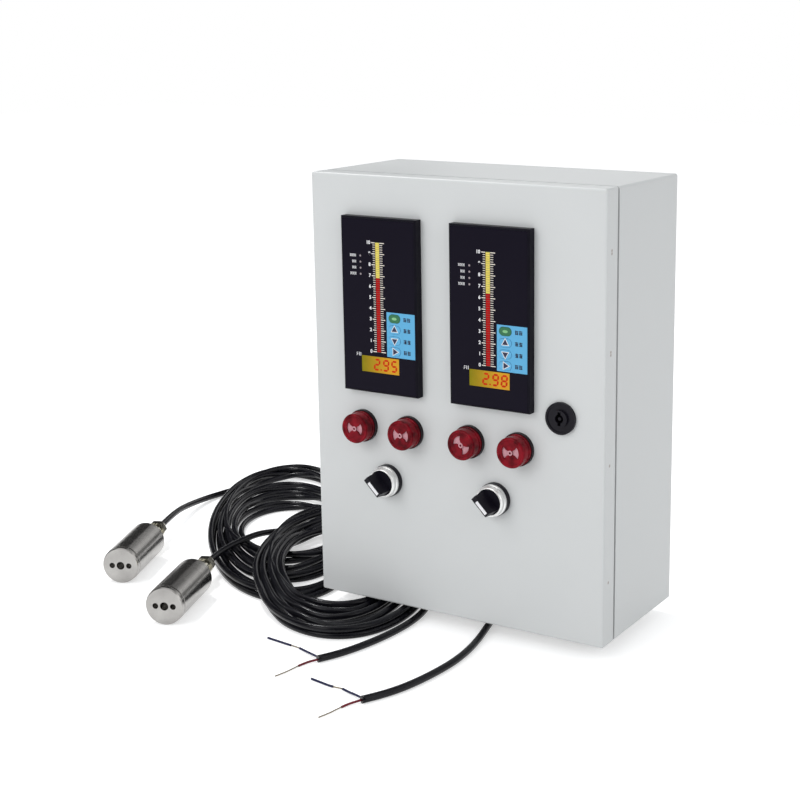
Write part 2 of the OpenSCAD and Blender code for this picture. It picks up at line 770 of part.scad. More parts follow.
// The floor beside the box that the opened door does not pass over
door_swing = 105;
sweep_gap = 8;
sweep_front = axis_y - y_front + sweep_gap;
open_x = -cab_w / 2 - 4;
open_y = axis_y + (sweep_front + (open_x - axis_x) * sin(door_swing)) / -cos(door_swing);
open_reach = 500;

module open_floor() translate([0, 0, z_floor - 1]) linear_extrude(4 * pile_h) polygon([
    [open_x, open_reach], [open_x, open_y],
    [open_x - open_reach * tan(door_swing - 90), open_y - open_reach],
    [open_x - 2 * open_reach, open_y - open_reach], [open_x - 2 * open_reach, open_reach]
]);

module cable_1_coil() color(rubber_black) difference() {
    coil_band(coil_1_ovals, 0, 0, pile_h);
    coil_band(coil_2_ovals, 2, turn_h, pile_h + 1);
}

// The second coil lies over the first one where they cross
module cable_2_coil() color(rubber_black) {
    difference() {
        coil_band(coil_2_ovals, 0, 0, turn_h);
        coil_band(coil_1_ovals, 1, -1, pile_h + 1);
    }
    intersection() {
        difference() {
            coil_band(coil_2_ovals, 0, 0, pile_h);
            coil_band(coil_1_ovals, 1, -1, pile_h + 1);
        }
        open_floor();
    }
    intersection() {
        coil_band(coil_2_ovals, 0, turn_h + 0.1, pile_h);
        coil_band(coil_1_ovals, 5, 0, pile_h + 1);
    }
    intersection() {
        coil_band(coil_2_ovals, 0, turn_h + 0.1, turn_h + pile_h);
        coil_band(coil_1_ovals, 5, 0, 2 * pile_h);
        open_floor();
    }
    difference() {
        intersection() {
            coil_band(coil_2_ovals, 0, turn_h - 1, turn_h + 1);
            coil_band(coil_1_ovals, 5, 0, pile_h);
        }
        coil_band(coil_1_ovals, 1, -1, pile_h + 2);
    }
}

// Routes on the floor: each point is x, y and height of the cable's centre.
// A lead starts inside its probe's gland, on the probe's axis.
low = cable_d / 2 + 0.05;
function gland_point(i, beyond) =
    let (reach = probe_length + gland_l + beyond)
    [probe_nose[i][0] + reach * cos(probe_heading[i]),
        probe_nose[i][1] + reach * sin(probe_heading[i]), probe_r];
lead_1 = [
    gland_point(0, -7), gland_point(0, 2), [-414, -64, 17.4], [-424, -43, 15.8], [-436, -18, 13],
    [-446, 10, 10], [-453, 37, 7], [-455, 60, 4.8], [-452, 80, 4], [-447, 98, 4]
];
lead_2 = [
    gland_point(1, -7), gland_point(1, 2), [-294, -122, 18.6], [-297, -104, 18.3],
    [-299, -84, 17.5], [-300, -66, 17.4], [-300, -54, 16.9], [-300, -44, 13.8], [-300, -34, 10.2],
    [-300, -26, 8.4]
];
tail_1 = [
    [-430, 199, low], [-398, 203, low], [-354, 205, low], [-304, 204, low], [-254, 199, low],
    [-204, 188, low], [-154, 169, low], [-109, 141, low], [-72, 106, low], [-42, 66, low],
    [-18, 21, low], [-1, -24, low], [11, -72, low], [22, -119, low], [31, -149, low],
    [37, -179, low], [39, -209, low], [36, -239, low], [32, -264, low], [25, -287, low],
    [13, -308, low]
];
tail_2 = [
    [-110, -3, low], [-97, -17, low], [-84, -36, low], [-71, -60, low], [-60, -85, low],
    [-51, -108, low], [-45, -130, low], [-43, -152, low], [-44, -176, low], [-48, -204, low],
    [-54, -228, low], [-60, -246, low], [-68, -259, low]
];
wire_1_blue = [
    [14, -306, 3.5], [0, -300, 2], [-9, -297, 1.2], [-16, -294, 1], [-28, -295, 1], [-51, -291, 1]
];
wire_1_red = [
    [12, -307, 2.4], [6, -316, 1.4], [3, -328, 1], [2, -337, 1], [-1, -348, 1]
];
wire_2_blue = [
    [-67, -257, 3.5], [-83, -250, 2], [-93, -246, 1.2], [-101, -243, 1], [-114, -242, 1],
    [-139, -239, 1]
];
wire_2_red = [
    [-68, -258, 2.4], [-74, -264, 1.4], [-77, -275, 1], [-78, -288, 1], [-81, -302, 1]
];

function unit(v) = v / norm(v);
function heading(p, i) = unit(p[min(i + 1, len(p) - 1)] - p[max(i - 1, 0)]);
function ring_points(c, t, r, n) =
    let (side = unit(cross(t, [0, 0, 1])))
    let (up = cross(side, t))
    [for (k = [0:n - 1]) c + r * (cos(360 * k / n) * side + sin(360 * k / n) * up)];

// Tube swept along the points of a route
module tube(route, d, n = 8) {
    p = [for (q = route) [q[0], q[1], z_floor + q[2]]];
    m = len(p);
    points = [for (i = [0:m - 1]) each ring_points(p[i], heading(p, i), d / 2, n)];
    sides = [for (i = [0:m - 2], k = [0:n - 1])
        [i * n + k, i * n + (k + 1) % n, (i + 1) * n + (k + 1) % n, (i + 1) * n + k]];
    first_end = [[for (k = [n - 1:-1:0]) k]];
    last_end = [[for (k = [0:n - 1]) (m - 1) * n + k]];
    polyhedron(points, concat(sides, first_end, last_end));
}

module cable_1_tube() color(rubber_black) {
    tube(lead_1, cable_d);
    tube(tail_1, cable_d);
}

module cable_2_tube() color(rubber_black) {
    tube(lead_2, cable_d);
    tube(tail_2, cable_d);
}

module cable_1_wires() color([0.10, 0.12, 0.35]) {
    tube(wire_1_blue, wire_d, 6);
    tube(wire_1_red, wire_d, 6);
}

module cable_2_wires() color([0.10, 0.12, 0.35]) {
    tube(wire_2_blue, wire_d, 6);
    tube(wire_2_red, wire_d, 6);
}

cabinet();
door();
door_gasket();
hinge_frame_leaf(1);  // hinge_frame_leaf_upper
hinge_frame_leaf(-1);  // hinge_frame_leaf_lower
hinge_door_leaf(1);  // hinge_door_leaf_upper
hinge_door_leaf(-1);  // hinge_door_leaf_lower
hinge_pins();
lock_body();
lock_core();
lock_cam();
panel_nuts();
meter_bezel(0);  // meter_left_bezel
meter_case(0);  // meter_left_case
meter_face(0);  // meter_left_face
meter_board(0);  // meter_left_board
meter_bezel(1);  // meter_right_bezel
meter_case(1);  // meter_right_case
meter_face(1);  // meter_right_face
meter_board(1);  // meter_right_board
meter_key(0, 0);  // meter_left_key_1
meter_key(0, 1);  // meter_left_key_2
meter_key(0, 2);  // meter_left_key_3
meter_key(0, 3);  // meter_left_key_4
meter_key(1, 0);  // meter_right_key_1
meter_key(1, 1);  // meter_right_key_2
meter_key(1, 2);  // meter_right_key_3
meter_key(1, 3);  // meter_right_key_4
meter_clamps();
buzzer_body(0);  // buzzer_1_body
buzzer_body(1);  // buzzer_2_body
buzzer_body(2);  // buzzer_3_body
buzzer_body(3);  // buzzer_4_body
buzzer_lens(0);  // buzzer_1_lens
buzzer_lens(1);  // buzzer_2_lens
buzzer_lens(2);  // buzzer_3_lens
buzzer_lens(3);  // buzzer_4_lens
selector_body(0);  // selector_left_body
selector_ring(0);  // selector_left_ring
selector_knob(0);  // selector_left_knob
selector_body(1);  // selector_right_body
selector_ring(1);  // selector_right_ring
selector_knob(1);  // selector_right_knob
mounting_plate();
plate_nuts();
terminal_rail();
terminals();
entry_grommets();
feet();
probe_body(0);  // probe_1_body
probe_body(1);  // probe_2_body
probe_gland(0);  // probe_1_gland
probe_gland(1);  // probe_2_gland
cable_1_coil();
cable_2_coil();
cable_1_tube();
cable_2_tube();
cable_1_wires();
cable_2_wires();
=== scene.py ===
import math
import bpy
import numpy as np
from mathutils import Euler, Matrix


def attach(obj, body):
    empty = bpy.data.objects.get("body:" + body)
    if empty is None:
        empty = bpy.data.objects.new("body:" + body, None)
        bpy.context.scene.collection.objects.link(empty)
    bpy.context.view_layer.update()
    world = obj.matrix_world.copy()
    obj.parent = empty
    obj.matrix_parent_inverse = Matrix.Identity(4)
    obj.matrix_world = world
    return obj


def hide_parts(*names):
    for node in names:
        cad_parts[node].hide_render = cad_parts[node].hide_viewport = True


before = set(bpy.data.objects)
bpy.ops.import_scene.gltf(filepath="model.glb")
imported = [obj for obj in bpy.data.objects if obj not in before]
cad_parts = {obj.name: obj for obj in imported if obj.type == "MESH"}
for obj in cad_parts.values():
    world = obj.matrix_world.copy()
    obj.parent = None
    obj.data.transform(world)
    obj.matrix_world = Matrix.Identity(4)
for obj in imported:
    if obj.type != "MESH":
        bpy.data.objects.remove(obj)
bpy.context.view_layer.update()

scene = bpy.context.scene
scene.view_settings.view_transform = "Standard"

# Studio.
# A pale floor under a white sky, a broad lamp before the panel, a weak one at
# its right and a small one high behind. The camera stands as in the photograph.
FLOOR_Z = -0.214

camera_data = bpy.data.cameras.new("camera")
camera_data.sensor_width = 36.0
camera_data.lens = 70.43
camera_data.shift_x = -0.125
camera_data.shift_y = -0.06875
camera_data.clip_end = 50.0
camera = bpy.data.objects.new("camera", camera_data)
camera.location = (0.7141, -1.2836, 0.3433)
camera.rotation_euler = Euler([math.radians(a) for a in (77.895, 0.217, 30.169)])
scene.collection.objects.link(camera)
scene.camera = camera


def lamp(name, place, aim, size, power):
    """A square white area lamp at place, turned to face aim."""
    data = bpy.data.lights.new(name, "AREA")
    data.shape = "SQUARE"
    data.size = size
    data.energy = power
    lamp_object = bpy.data.objects.new(name, data)
    place = np.array(place)
    away = place - np.array(aim)
    away = away / np.linalg.norm(away)
    lamp_object.location = place
    lamp_object.rotation_euler = (math.acos(away[2]), 0.0, math.atan2(away[1], away[0]) + math.pi / 2)
    scene.collection.objects.link(lamp_object)


lamp("front_lamp", (-0.9, -2.6, 1.5), (0.0, -0.1, 0.0), 1.8, 26.0)
lamp("side_lamp", (2.4, -0.9, 1.2), (0.1, -0.1, 0.0), 1.4, 7.0)
lamp("strip_lamp", (-1.5, 0.4, 2.2), (-0.3, -0.1, -0.2), 0.20, 24.0)


def seen_directly(tree):
    """1 for rays from the camera, through glass or off a mirror, and 0 for those that light."""
    paths = tree.nodes.new("ShaderNodeLightPath")
    value = paths.outputs["Is Camera Ray"]
    for kind in ("Is Transmission Ray", "Is Glossy Ray"):
        greater = tree.nodes.new("ShaderNodeMath")
        greater.operation = "MAXIMUM"
        tree.links.new(value, greater.inputs[0])
        tree.links.new(paths.outputs[kind], greater.inputs[1])
        value = greater.outputs[0]
    return value


world = bpy.data.worlds.new("white_room")
world.use_nodes = True
scene.world = world
nodes, links = world.node_tree.nodes, world.node_tree.links
nodes.clear()
fill = nodes.new("ShaderNodeBackground")
fill.inputs["Color"].default_value = (0.97, 0.985, 1.0, 1.0)
fill.inputs["Strength"].default_value = 0.72
bright = nodes.new("ShaderNodeBackground")
bright.inputs["Color"].default_value = (1.0, 1.0, 1.0, 1.0)
bright.inputs["Strength"].default_value = 1.0
sky = nodes.new("ShaderNodeMixShader")
links.new(seen_directly(world.node_tree), sky.inputs[0])
links.new(fill.outputs[0], sky.inputs[1])
links.new(bright.outputs[0], sky.inputs[2])
world_out = nodes.new("ShaderNodeOutputWorld")
links.new(sky.outputs[0], world_out.inputs["Surface"])


def grid_mesh(name, points, closed=False, round_rows=False):
    """A surface through a grid of points, rows by columns; the columns join up where closed, and
    the last row joins the first one where the rows go round."""
    rows, columns = points.shape[:2]
    row = np.arange(rows if round_rows else rows - 1)[:, None] * columns
    column = np.arange(columns if closed else columns - 1)[None, :]
    after, below = (column + 1) % columns, (row + columns) % (rows * columns)
    quads = np.stack([row + column, row + after, below + after, below + column], axis=2)
    mesh = bpy.data.meshes.new(name)
    mesh.from_pydata(points.reshape(-1, 3).tolist(), [], quads.reshape(-1, 4).tolist())
    mesh.update()
    piece = bpy.data.objects.new(name, mesh)
    scene.collection.objects.link(piece)
    return piece


# floor, lit so that it meets the white sky without an edge
FLOOR_REACH, SCREEN_REACH = 6, 4.0
span = np.linspace(-FLOOR_REACH, FLOOR_REACH, 3)
studio_floor = grid_mesh(
    "studio_floor", np.stack([*np.meshgrid(span, span), np.full((3, 3), FLOOR_Z)], axis=2)
)
floor_paint = bpy.data.materials.new("studio_floor")
floor_paint.use_nodes = True
nodes, links = floor_paint.node_tree.nodes, floor_paint.node_tree.links
matt = nodes["Principled BSDF"]
matt.inputs["Base Color"].default_value = (0.80, 0.80, 0.80, 1.0)
matt.inputs["Roughness"].default_value = 1.0
matt.inputs["Specular IOR Level"].default_value = 0.0
lift = nodes.new("ShaderNodeMath")
lift.operation = "MULTIPLY"
lift.inputs[1].default_value = 0.48
links.new(seen_directly(floor_paint.node_tree), lift.inputs[0])
matt.inputs["Emission Color"].default_value = (1.0, 1.0, 1.0, 1.0)
links.new(lift.outputs[0], matt.inputs["Emission Strength"])
studio_floor.data.materials.append(floor_paint)

# dark screens as in a photographer's room, which only reflections see: one
# before the object, and behind it a low one, a high one and one at the left
# round the gap that lights the steel
screen_cloth = bpy.data.materials.new("studio_screen")
screen_cloth.use_nodes = True
cloth = screen_cloth.node_tree.nodes["Principled BSDF"]
cloth.inputs["Base Color"].default_value = (0.02, 0.02, 0.02, 1.0)
cloth.inputs["Roughness"].default_value = 1.0
for name, bearings, rises in (
    ("front", (-165, -15), (-3, 50)), ("low", (60, 180), (0.5, 10)), ("high", (60, 180), (24, 60)),
    ("left", (124, 180), (9, 26)),
):
    bearing, rise = np.meshgrid(
        np.radians(np.linspace(*bearings, 31)), np.radians(np.linspace(*rises, 12)))
    screen = grid_mesh(f"studio_screen_{name}", SCREEN_REACH * np.stack(
        [np.cos(rise) * np.cos(bearing), np.cos(rise) * np.sin(bearing), np.sin(rise)], axis=2
    ))
    screen.visible_camera = False
    screen.visible_diffuse = False
    screen.visible_transmission = False
    screen.visible_shadow = False
    screen.data.materials.append(screen_cloth)

# Cables. Two vented cables in a glossy black jacket, one for each probe. Each
# leaves its probe's gland, lies in ten flat oval turns, wound inwards on the
# floor and outwards again on top, and ends in a tail stripped to two wires.
CABLE_D = 0.0065
REST = CABLE_D / 2 + 0.00005
STEP = 0.003
# the coils' two directions on the floor, and where these start from
ACROSS = np.array([0.8645, 0.5025])
ALONG = np.array([-0.596, 0.803])
COIL_AT = np.array([-0.004, -0.0635])
# least and greatest across, least and greatest along: inner oval, outer oval
COIL_OVALS = {
    1: np.array([[-254, -147, 130, 292], [-284, -116, -5, 443]]) / 1000.0,
    2: np.array([[-205, -97, -32, 175], [-235, -47, -101, 273]]) / 1000.0,
}
PROBE_NOSE = {1: (-0.354, -0.200), 2: (-0.242, -0.261)}
PROBE_HEADING = {1: math.radians(113.5), 2: math.radians(111)}
PROBE_R = 0.0185
# where the jacket starts inside the gland and where it leaves it, from the nose
GLAND_REACH = (0.116, 0.125)


def oval_lane(ovals, lane, angle):
    """Centre plus half width times cosine across plus half length times sine along, with the
    oval's four limits taken between the inner one (lane 0) and the outer one (lane 1)."""
    limits = ovals[0] + np.asarray(lane)[..., None] * (ovals[1] - ovals[0])
    across = (limits[..., 0] + limits[..., 1]) / 2 + (limits[..., 1] - limits[..., 0]) / 2 * np.cos(angle)
    along = (limits[..., 2] + limits[..., 3]) / 2 + (limits[..., 3] - limits[..., 2]) / 2 * np.sin(angle)
    return COIL_AT + across[..., None] * ACROSS + along[..., None] * ALONG


def smooth_step(x):
    """0 below 0, 1 above 1, and 3x^2 - 2x^3 between."""
    x = np.clip(x, 0.0, 1.0)
    return x * x * (3 - 2 * x)


def spaced(points, step):
    """The same line with its points one step apart along it."""
    run = np.concatenate([[0], np.cumsum(np.linalg.norm(np.diff(points, axis=0), axis=1))])
    marks = np.linspace(0, run[-1], max(2, int(round(run[-1] / step)) + 1))
    return np.stack([np.interp(marks, run, points[:, k]) for k in range(points.shape[1])], axis=1)


def eased(points, reach):
    """Each point moved to the mean of its neighbours, weighted by a bell of that reach in points;
    the two ends are carried on straight so that they stay put."""
    width = int(3 * reach)
    weight = np.exp(-0.5 * (np.arange(-width, width + 1) / reach) ** 2)
    weight /= weight.sum()
    before = 2 * points[0] - points[width:0:-1]
    after = 2 * points[-1] - points[-2 : -width - 2 : -1]
    long = np.concatenate([before, points, after])
    return np.stack([np.convolve(long[:, k], weight, "valid") for k in range(points.shape[1])], axis=1)


def gland_point(probe, reach):
    """The point on a probe's axis at that distance from its nose."""
    nose, heading = PROBE_NOSE[probe], PROBE_HEADING[probe]
    return (nose[0] + reach * math.cos(heading), nose[1] + reach * math.sin(heading), PROBE_R)


# points of each lead in mm over the floor, and of each tail on the floor
LEADS = {
    1: [(-414, -64, 17.4), (-424, -43, 15.8), (-436, -18, 12), (-446, 10, 8), (-453, 37, 4.6),
        (-455, 60, 3.4), (-452, 80, 3.3), (-447, 98, 3.3)],
    2: [(-294, -122, 18.6), (-297, -104, 18.3), (-299, -84, 17.5), (-300, -66, 17.4),
        (-300, -54, 16.9), (-300, -44, 13.8), (-300, -34, 10.2), (-300, -26, 8.4)],
}
TAILS = {
    1: [(-430, 199), (-398, 203), (-354, 205), (-304, 204), (-254, 199), (-204, 188), (-154, 169),
        (-109, 141), (-72, 106), (-42, 66), (-18, 21), (-1, -24), (11, -72), (22, -119), (31, -149),
        (37, -179), (39, -209), (36, -239), (32, -264), (25, -287), (13, -308)],
    2: [(-110, -3), (-97, -17), (-84, -36), (-71, -60), (-60, -85), (-51, -108), (-45, -130),
        (-43, -152), (-44, -176), (-48, -204), (-54, -228), (-60, -246), (-68, -259)],
}
# angle where the lead joins the coil, and the angle swept from there to the tail
COIL_START = {1: 115.0, 2: 137.0}
COIL_SWEEP = {1: 10 * 360 + 29.0, 2: 10 * 360 + 135.0}
# lane at each count of turns: 1 is the outermost and 0 the innermost; the last
# turn crosses the others from the inside to the outside on the left
WOUND = {
    1: ([0, 0.35, 0.65, 1.05, 1.65, 2.05, 2.65, 3.05, 3.65, 4.05, 4.65, 5.05, 5.65, 6.05, 6.65, 7.05,
         7.65, 8.05, 8.5, 8.82, 9.1, 9.3, 9.5, 9.62, 9.69, 9.73, 9.787, 9.83, 9.869, 9.9, 9.96, 10.03,
         10.11],
        [0.88, 0.95, 0.95, 0.84, 0.74, 0.63, 0.53, 0.42, 0.30, 0.16, 0.0, 0.08, 0.18, 0.30, 0.41, 0.52,
         0.64, 0.74, 0.90, 1.0, 0.84, 0.60, 0.20, 0.12, 0.15, 0.18, 0.30, 0.53, 0.80, 0.85, 0.86, 0.86,
         0.93]),
    2: ([0, 0.35, 0.65, 1.05, 1.65, 2.05, 2.65, 3.05, 3.65, 4.05, 4.65, 5.05, 5.65, 6.05, 6.65, 7.05,
         7.65, 8.05, 8.65, 8.88, 9.1, 9.35, 9.5, 9.6, 9.67, 9.73, 9.78, 9.84, 9.88, 9.915, 9.95, 10.04,
         10.12, 10.4],
        [0.92, 0.97, 0.95, 0.82, 0.73, 0.62, 0.52, 0.42, 0.30, 0.16, 0.03, 0.10, 0.18, 0.30, 0.41, 0.52,
         0.62, 0.72, 0.90, 0.92, 0.80, 0.50, 0.15, -0.04, -0.08, 0.02, 0.08, 0.20, 0.36, 0.68, 1.0, 1.06,
         1.04, 1.0]),
}
# how far out the outermost turn lies by angle, and how far in the innermost
RIM = {
    1: ([-180, -159, -133, -114, -60, 0, 60, 100, 146, 168, 180],
        [1.07, 1.09, 1.03, 0.97, 1.0, 1.0, 1.02, 1.05, 1.05, 1.07, 1.07]),
    2: ([-180, -166, -148, -131, -118, -106, -94, -82, -60, -34, -15, 4, 60, 106, 122, 138, 155, 172, 180],
        [0.97, 1.02, 1.08, 1.05, 1.0, 0.95, 0.89, 0.835, 0.80, 0.80, 0.86, 0.99, 0.90, 0.80, 0.80,
         0.76, 0.68, 0.86, 0.97]),
}
CORE = -0.06
# points in each turn, and how far and how often a turn strays from its lane
TURN_POINTS, STRAY, STRAY_PITCH = 220, 0.035, 0.31
# the floor that the opened door does not pass over: left of OPEN_X, and before
# OPEN_Y left of a line that leans by SWEEP_LEAN, whose cosine is LEAN_COSINE
OPEN_X, OPEN_Y, SWEEP_LEAN, LEAN_COSINE = -0.154, -0.0832, 0.268, 0.966
# greatest height under the door's sweep, what is added beyond, and over how far
LOW_TOP, HIGH_RISE, RISE_RUN = 0.01005, 0.00675, 0.045


def greatest_height(flat):
    """The low top under the box and the door's sweep, rising smoothly by the high rise beyond."""
    beside = OPEN_X - flat[:, 0]
    before = (OPEN_X + np.minimum(flat[:, 1] - OPEN_Y, 0.0) * SWEEP_LEAN - flat[:, 0]) * LEAN_COSINE
    return LOW_TOP + HIGH_RISE * smooth_step(np.minimum(beside, before) / RISE_RUN)


def long_hump(height, slope=0.2):
    """Heights widened on both sides to the given slope, then rounded by a bell."""
    reach = 30
    drop = slope * STEP * np.maximum(np.abs(np.arange(-reach, reach + 1)) - 3, 0)
    held = np.pad(height, reach, mode="edge")
    view = np.lib.stride_tricks.sliding_window_view(held, 2 * reach + 1)
    return eased((view - drop).max(axis=1)[:, None], 3.5)[:, 0]


def laid_heights(line, below, top):
    """Heights of a cable laid down from its first point to its last. Over each earlier point
    less than a diameter away in plan it lies at that point's height plus the root of diameter
    squared less distance squared, up to the greatest height, in a long low hump."""
    flat, height = line[:, :2], line[:, 2].copy()
    chunk, ahead, apart, back = 60, 36, 20, 60
    for start in range(0, len(flat), chunk):
        stop = min(start + chunk + ahead, len(flat))
        laid = np.column_stack([flat, height])[: max(0, start - apart)]
        others = np.concatenate([below, laid])
        raised = line[start:stop, 2]
        if len(others):
            gap = np.linalg.norm(flat[start:stop, None] - others[None, :, :2], axis=2)
            touch = others[None, :, 2] + np.sqrt(np.maximum(CABLE_D**2 - gap**2, 0.0))
            raised = np.maximum(raised, np.where(gap < CABLE_D, touch, 0.0).max(axis=1))
        raised = np.minimum(raised, top[start:stop])
        first = max(0, start - back)
        height[start:stop] = long_hump(np.concatenate([height[first:start], raised]))[start - first :]
    return height


def cable_route(cable, below):
    """Lead, coil and tail as one line. The coil's angle falls steadily while its lane goes from
    the outside in and out again, straying a little, and the heights follow from what lies below."""
    stream = np.random.default_rng(20 + cable)
    count = COIL_SWEEP[cable] / 360
    turns = np.linspace(0, count, int(count * TURN_POINTS))
    lane = eased(np.interp(turns, *WOUND[cable])[:, None], 14)[:, 0]
    marks = np.arange(0, turns[-1] + 1.0, STRAY_PITCH)
    stray = np.interp(turns, marks, stream.uniform(-STRAY, STRAY, len(marks)))
    stray = eased(stray[:, None], 22)[:, 0]
    stray *= smooth_step(turns / 0.3) * smooth_step((turns[-1] - turns) / 0.3)
    angle = math.radians(COIL_START[cable]) - 2 * np.pi * turns
    stray *= 1.0 + 0.6 * np.abs(np.sin(angle))
    rim = np.interp((np.degrees(angle) + 180) % 360 - 180, *RIM[cable])
    lane = eased((CORE + (lane + stray) * (rim - CORE))[:, None], 8)[:, 0]
    coil = np.column_stack([oval_lane(COIL_OVALS[cable], lane, angle), np.full(len(turns), REST)])
    exit_points = [gland_point(cable, reach) for reach in GLAND_REACH]
    lead = np.concatenate([np.array(exit_points), np.array(LEADS[cable]) / 1000.0])
    tail = np.array([(x / 1000, y / 1000, REST) for x, y in TAILS[cable]])
    line = eased(spaced(np.concatenate([lead, coil, tail]), 0.002), 6)
    line = spaced(line, STEP)
    top = np.full(len(line), LOW_TOP) if cable == 1 else greatest_height(line[:, :2])
    line[:, 2] = laid_heights(line, below, np.maximum(top, line[:, 2]))
    return eased(line, 1.5)


def swept_tube(name, line, radius, sides=16):
    """A circle carried along a line that stays near level: its side direction is the line's
    heading crossed with up. Its ends are closed by a point on the line."""
    heading = np.gradient(line, axis=0)
    heading /= np.linalg.norm(heading, axis=1, keepdims=True)
    side = np.cross(heading, (0.0, 0.0, 1.0))
    side /= np.linalg.norm(side, axis=1, keepdims=True)
    up = np.cross(side, heading)
    turn = np.linspace(0, 2 * np.pi, sides, endpoint=False)
    radius = np.broadcast_to(radius, len(line))[:, None, None]
    rings = line[:, None] + radius * (
        np.cos(turn)[None, :, None] * side[:, None] + np.sin(turn)[None, :, None] * up[:, None]
    )
    count = len(line)
    a = (np.arange(count - 1)[:, None] * sides + np.arange(sides)[None, :]).ravel()
    b = (np.arange(count - 1)[:, None] * sides + (np.arange(sides)[None, :] + 1) % sides).ravel()
    quads = np.stack([a, b, b + sides, a + sides], axis=1)
    first, last = count * sides, count * sides + 1
    k = np.arange(sides)
    start_cap = np.stack([np.full(sides, first), (k + 1) % sides, k], axis=1)
    base = (count - 1) * sides
    end_cap = np.stack([np.full(sides, last), base + k, base + (k + 1) % sides], axis=1)
    points = np.concatenate([rings.reshape(-1, 3), line[:1], line[-1:]])
    mesh = bpy.data.meshes.new(name)
    mesh.from_pydata(points.tolist(), [], quads.tolist() + start_cap.tolist() + end_cap.tolist())
    mesh.polygons.foreach_set("use_smooth", [True] * len(quads) + [False] * (2 * sides))
    mesh.update()
    tube = bpy.data.objects.new(name, mesh)
    scene.collection.objects.link(tube)
    return tube


def shader_group(name, inputs, outputs):
    """An empty shader node group with float, colour and normal sockets by name."""
    group = bpy.data.node_groups.new(name, "ShaderNodeTree")
    kinds = {"f": "NodeSocketFloat", "c": "NodeSocketColor", "v": "NodeSocketVector"}
    for label, kind, value in inputs:
        socket = group.interface.new_socket(label, in_out="INPUT", socket_type=kinds[kind])
        if value is not None:
            socket.default_value = value
    for label, kind in outputs:
        group.interface.new_socket(label, in_out="OUTPUT", socket_type=kinds[kind])
    return group, group.nodes.new("NodeGroupInput"), group.nodes.new("NodeGroupOutput")


def noise(tree, scale, detail, source, warp=None):
    """A noise texture on the given coordinates, stretched by warp where that is given."""
    texture = tree.nodes.new("ShaderNodeTexNoise")
    texture.inputs["Scale"].default_value = scale
    texture.inputs["Detail"].default_value = detail
    if warp is not None:
        mapping = tree.nodes.new("ShaderNodeMapping")
        mapping.inputs["Scale"].default_value = warp
        tree.links.new(source, mapping.inputs["Vector"])
        source = mapping.outputs["Vector"]
    tree.links.new(source, texture.inputs["Vector"])
    return texture.outputs["Fac"]


def spread(tree, value, low, high, to_low, to_high):
    """Maps low..high of a value to to_low..to_high and clamps it."""
    node = tree.nodes.new("ShaderNodeMapRange")
    node.inputs["From Min"].default_value = low
    node.inputs["From Max"].default_value = high
    node.inputs["To Min"].default_value = to_low
    node.inputs["To Max"].default_value = to_high
    tree.links.new(value, node.inputs["Value"])
    return node.outputs["Result"]


def mixed(tree, factor, first, second):
    """Colour mix of two colours or sockets by a factor."""
    node = tree.nodes.new("ShaderNodeMix")
    node.data_type = "RGBA"
    tree.links.new(factor, node.inputs["Factor"])
    for value, socket in ((first, node.inputs["A"]), (second, node.inputs["B"])):
        if isinstance(value, bpy.types.NodeSocket):
            tree.links.new(value, socket)
        else:
            socket.default_value = (*value, 1.0) if len(value) == 3 else value
    return node.outputs["Result"]


# One group gives every finish its slight unevenness: two colours mixed by a
# broad noise, a roughness that wanders, and a fine surface height.
uneven, uneven_in, uneven_out = shader_group(
    "uneven_finish",
    [
        ("Colour", "c", (0.5, 0.5, 0.5, 1.0)), ("Other Colour", "c", (0.5, 0.5, 0.5, 1.0)),
        ("Patch Scale", "f", 20.0), ("Grain Scale", "f", 900.0),
        ("Roughness", "f", 0.4), ("Roughness Spread", "f", 0.08),
    ],
    [("Colour", "c"), ("Roughness", "f"), ("Height", "f")],
)
place = uneven.nodes.new("ShaderNodeTexCoord").outputs["Object"]
patches = uneven.nodes.new("ShaderNodeTexNoise")
patches.inputs["Detail"].default_value = 3.0
uneven.links.new(place, patches.inputs["Vector"])
uneven.links.new(uneven_in.outputs["Patch Scale"], patches.inputs["Scale"])
tone = uneven.nodes.new("ShaderNodeMix")
tone.data_type = "RGBA"
uneven.links.new(spread(uneven, patches.outputs["Fac"], 0.35, 0.65, 0.0, 1.0), tone.inputs["Factor"])
uneven.links.new(uneven_in.outputs["Colour"], tone.inputs["A"])
uneven.links.new(uneven_in.outputs["Other Colour"], tone.inputs["B"])
uneven.links.new(tone.outputs["Result"], uneven_out.inputs["Colour"])
grain = uneven.nodes.new("ShaderNodeTexNoise")
grain.inputs["Detail"].default_value = 4.0
uneven.links.new(place, grain.inputs["Vector"])
uneven.links.new(uneven_in.outputs["Grain Scale"], grain.inputs["Scale"])
wander = uneven.nodes.new("ShaderNodeMath")
wander.operation = "MULTIPLY_ADD"
uneven.links.new(spread(uneven, patches.outputs["Fac"], 0.3, 0.7, -0.5, 0.5), wander.inputs[0])
uneven.links.new(uneven_in.outputs["Roughness Spread"], wander.inputs[1])
uneven.links.new(uneven_in.outputs["Roughness"], wander.inputs[2])
uneven.links.new(wander.outputs[0], uneven_out.inputs["Roughness"])
uneven.links.new(grain.outputs["Fac"], uneven_out.inputs["Height"])


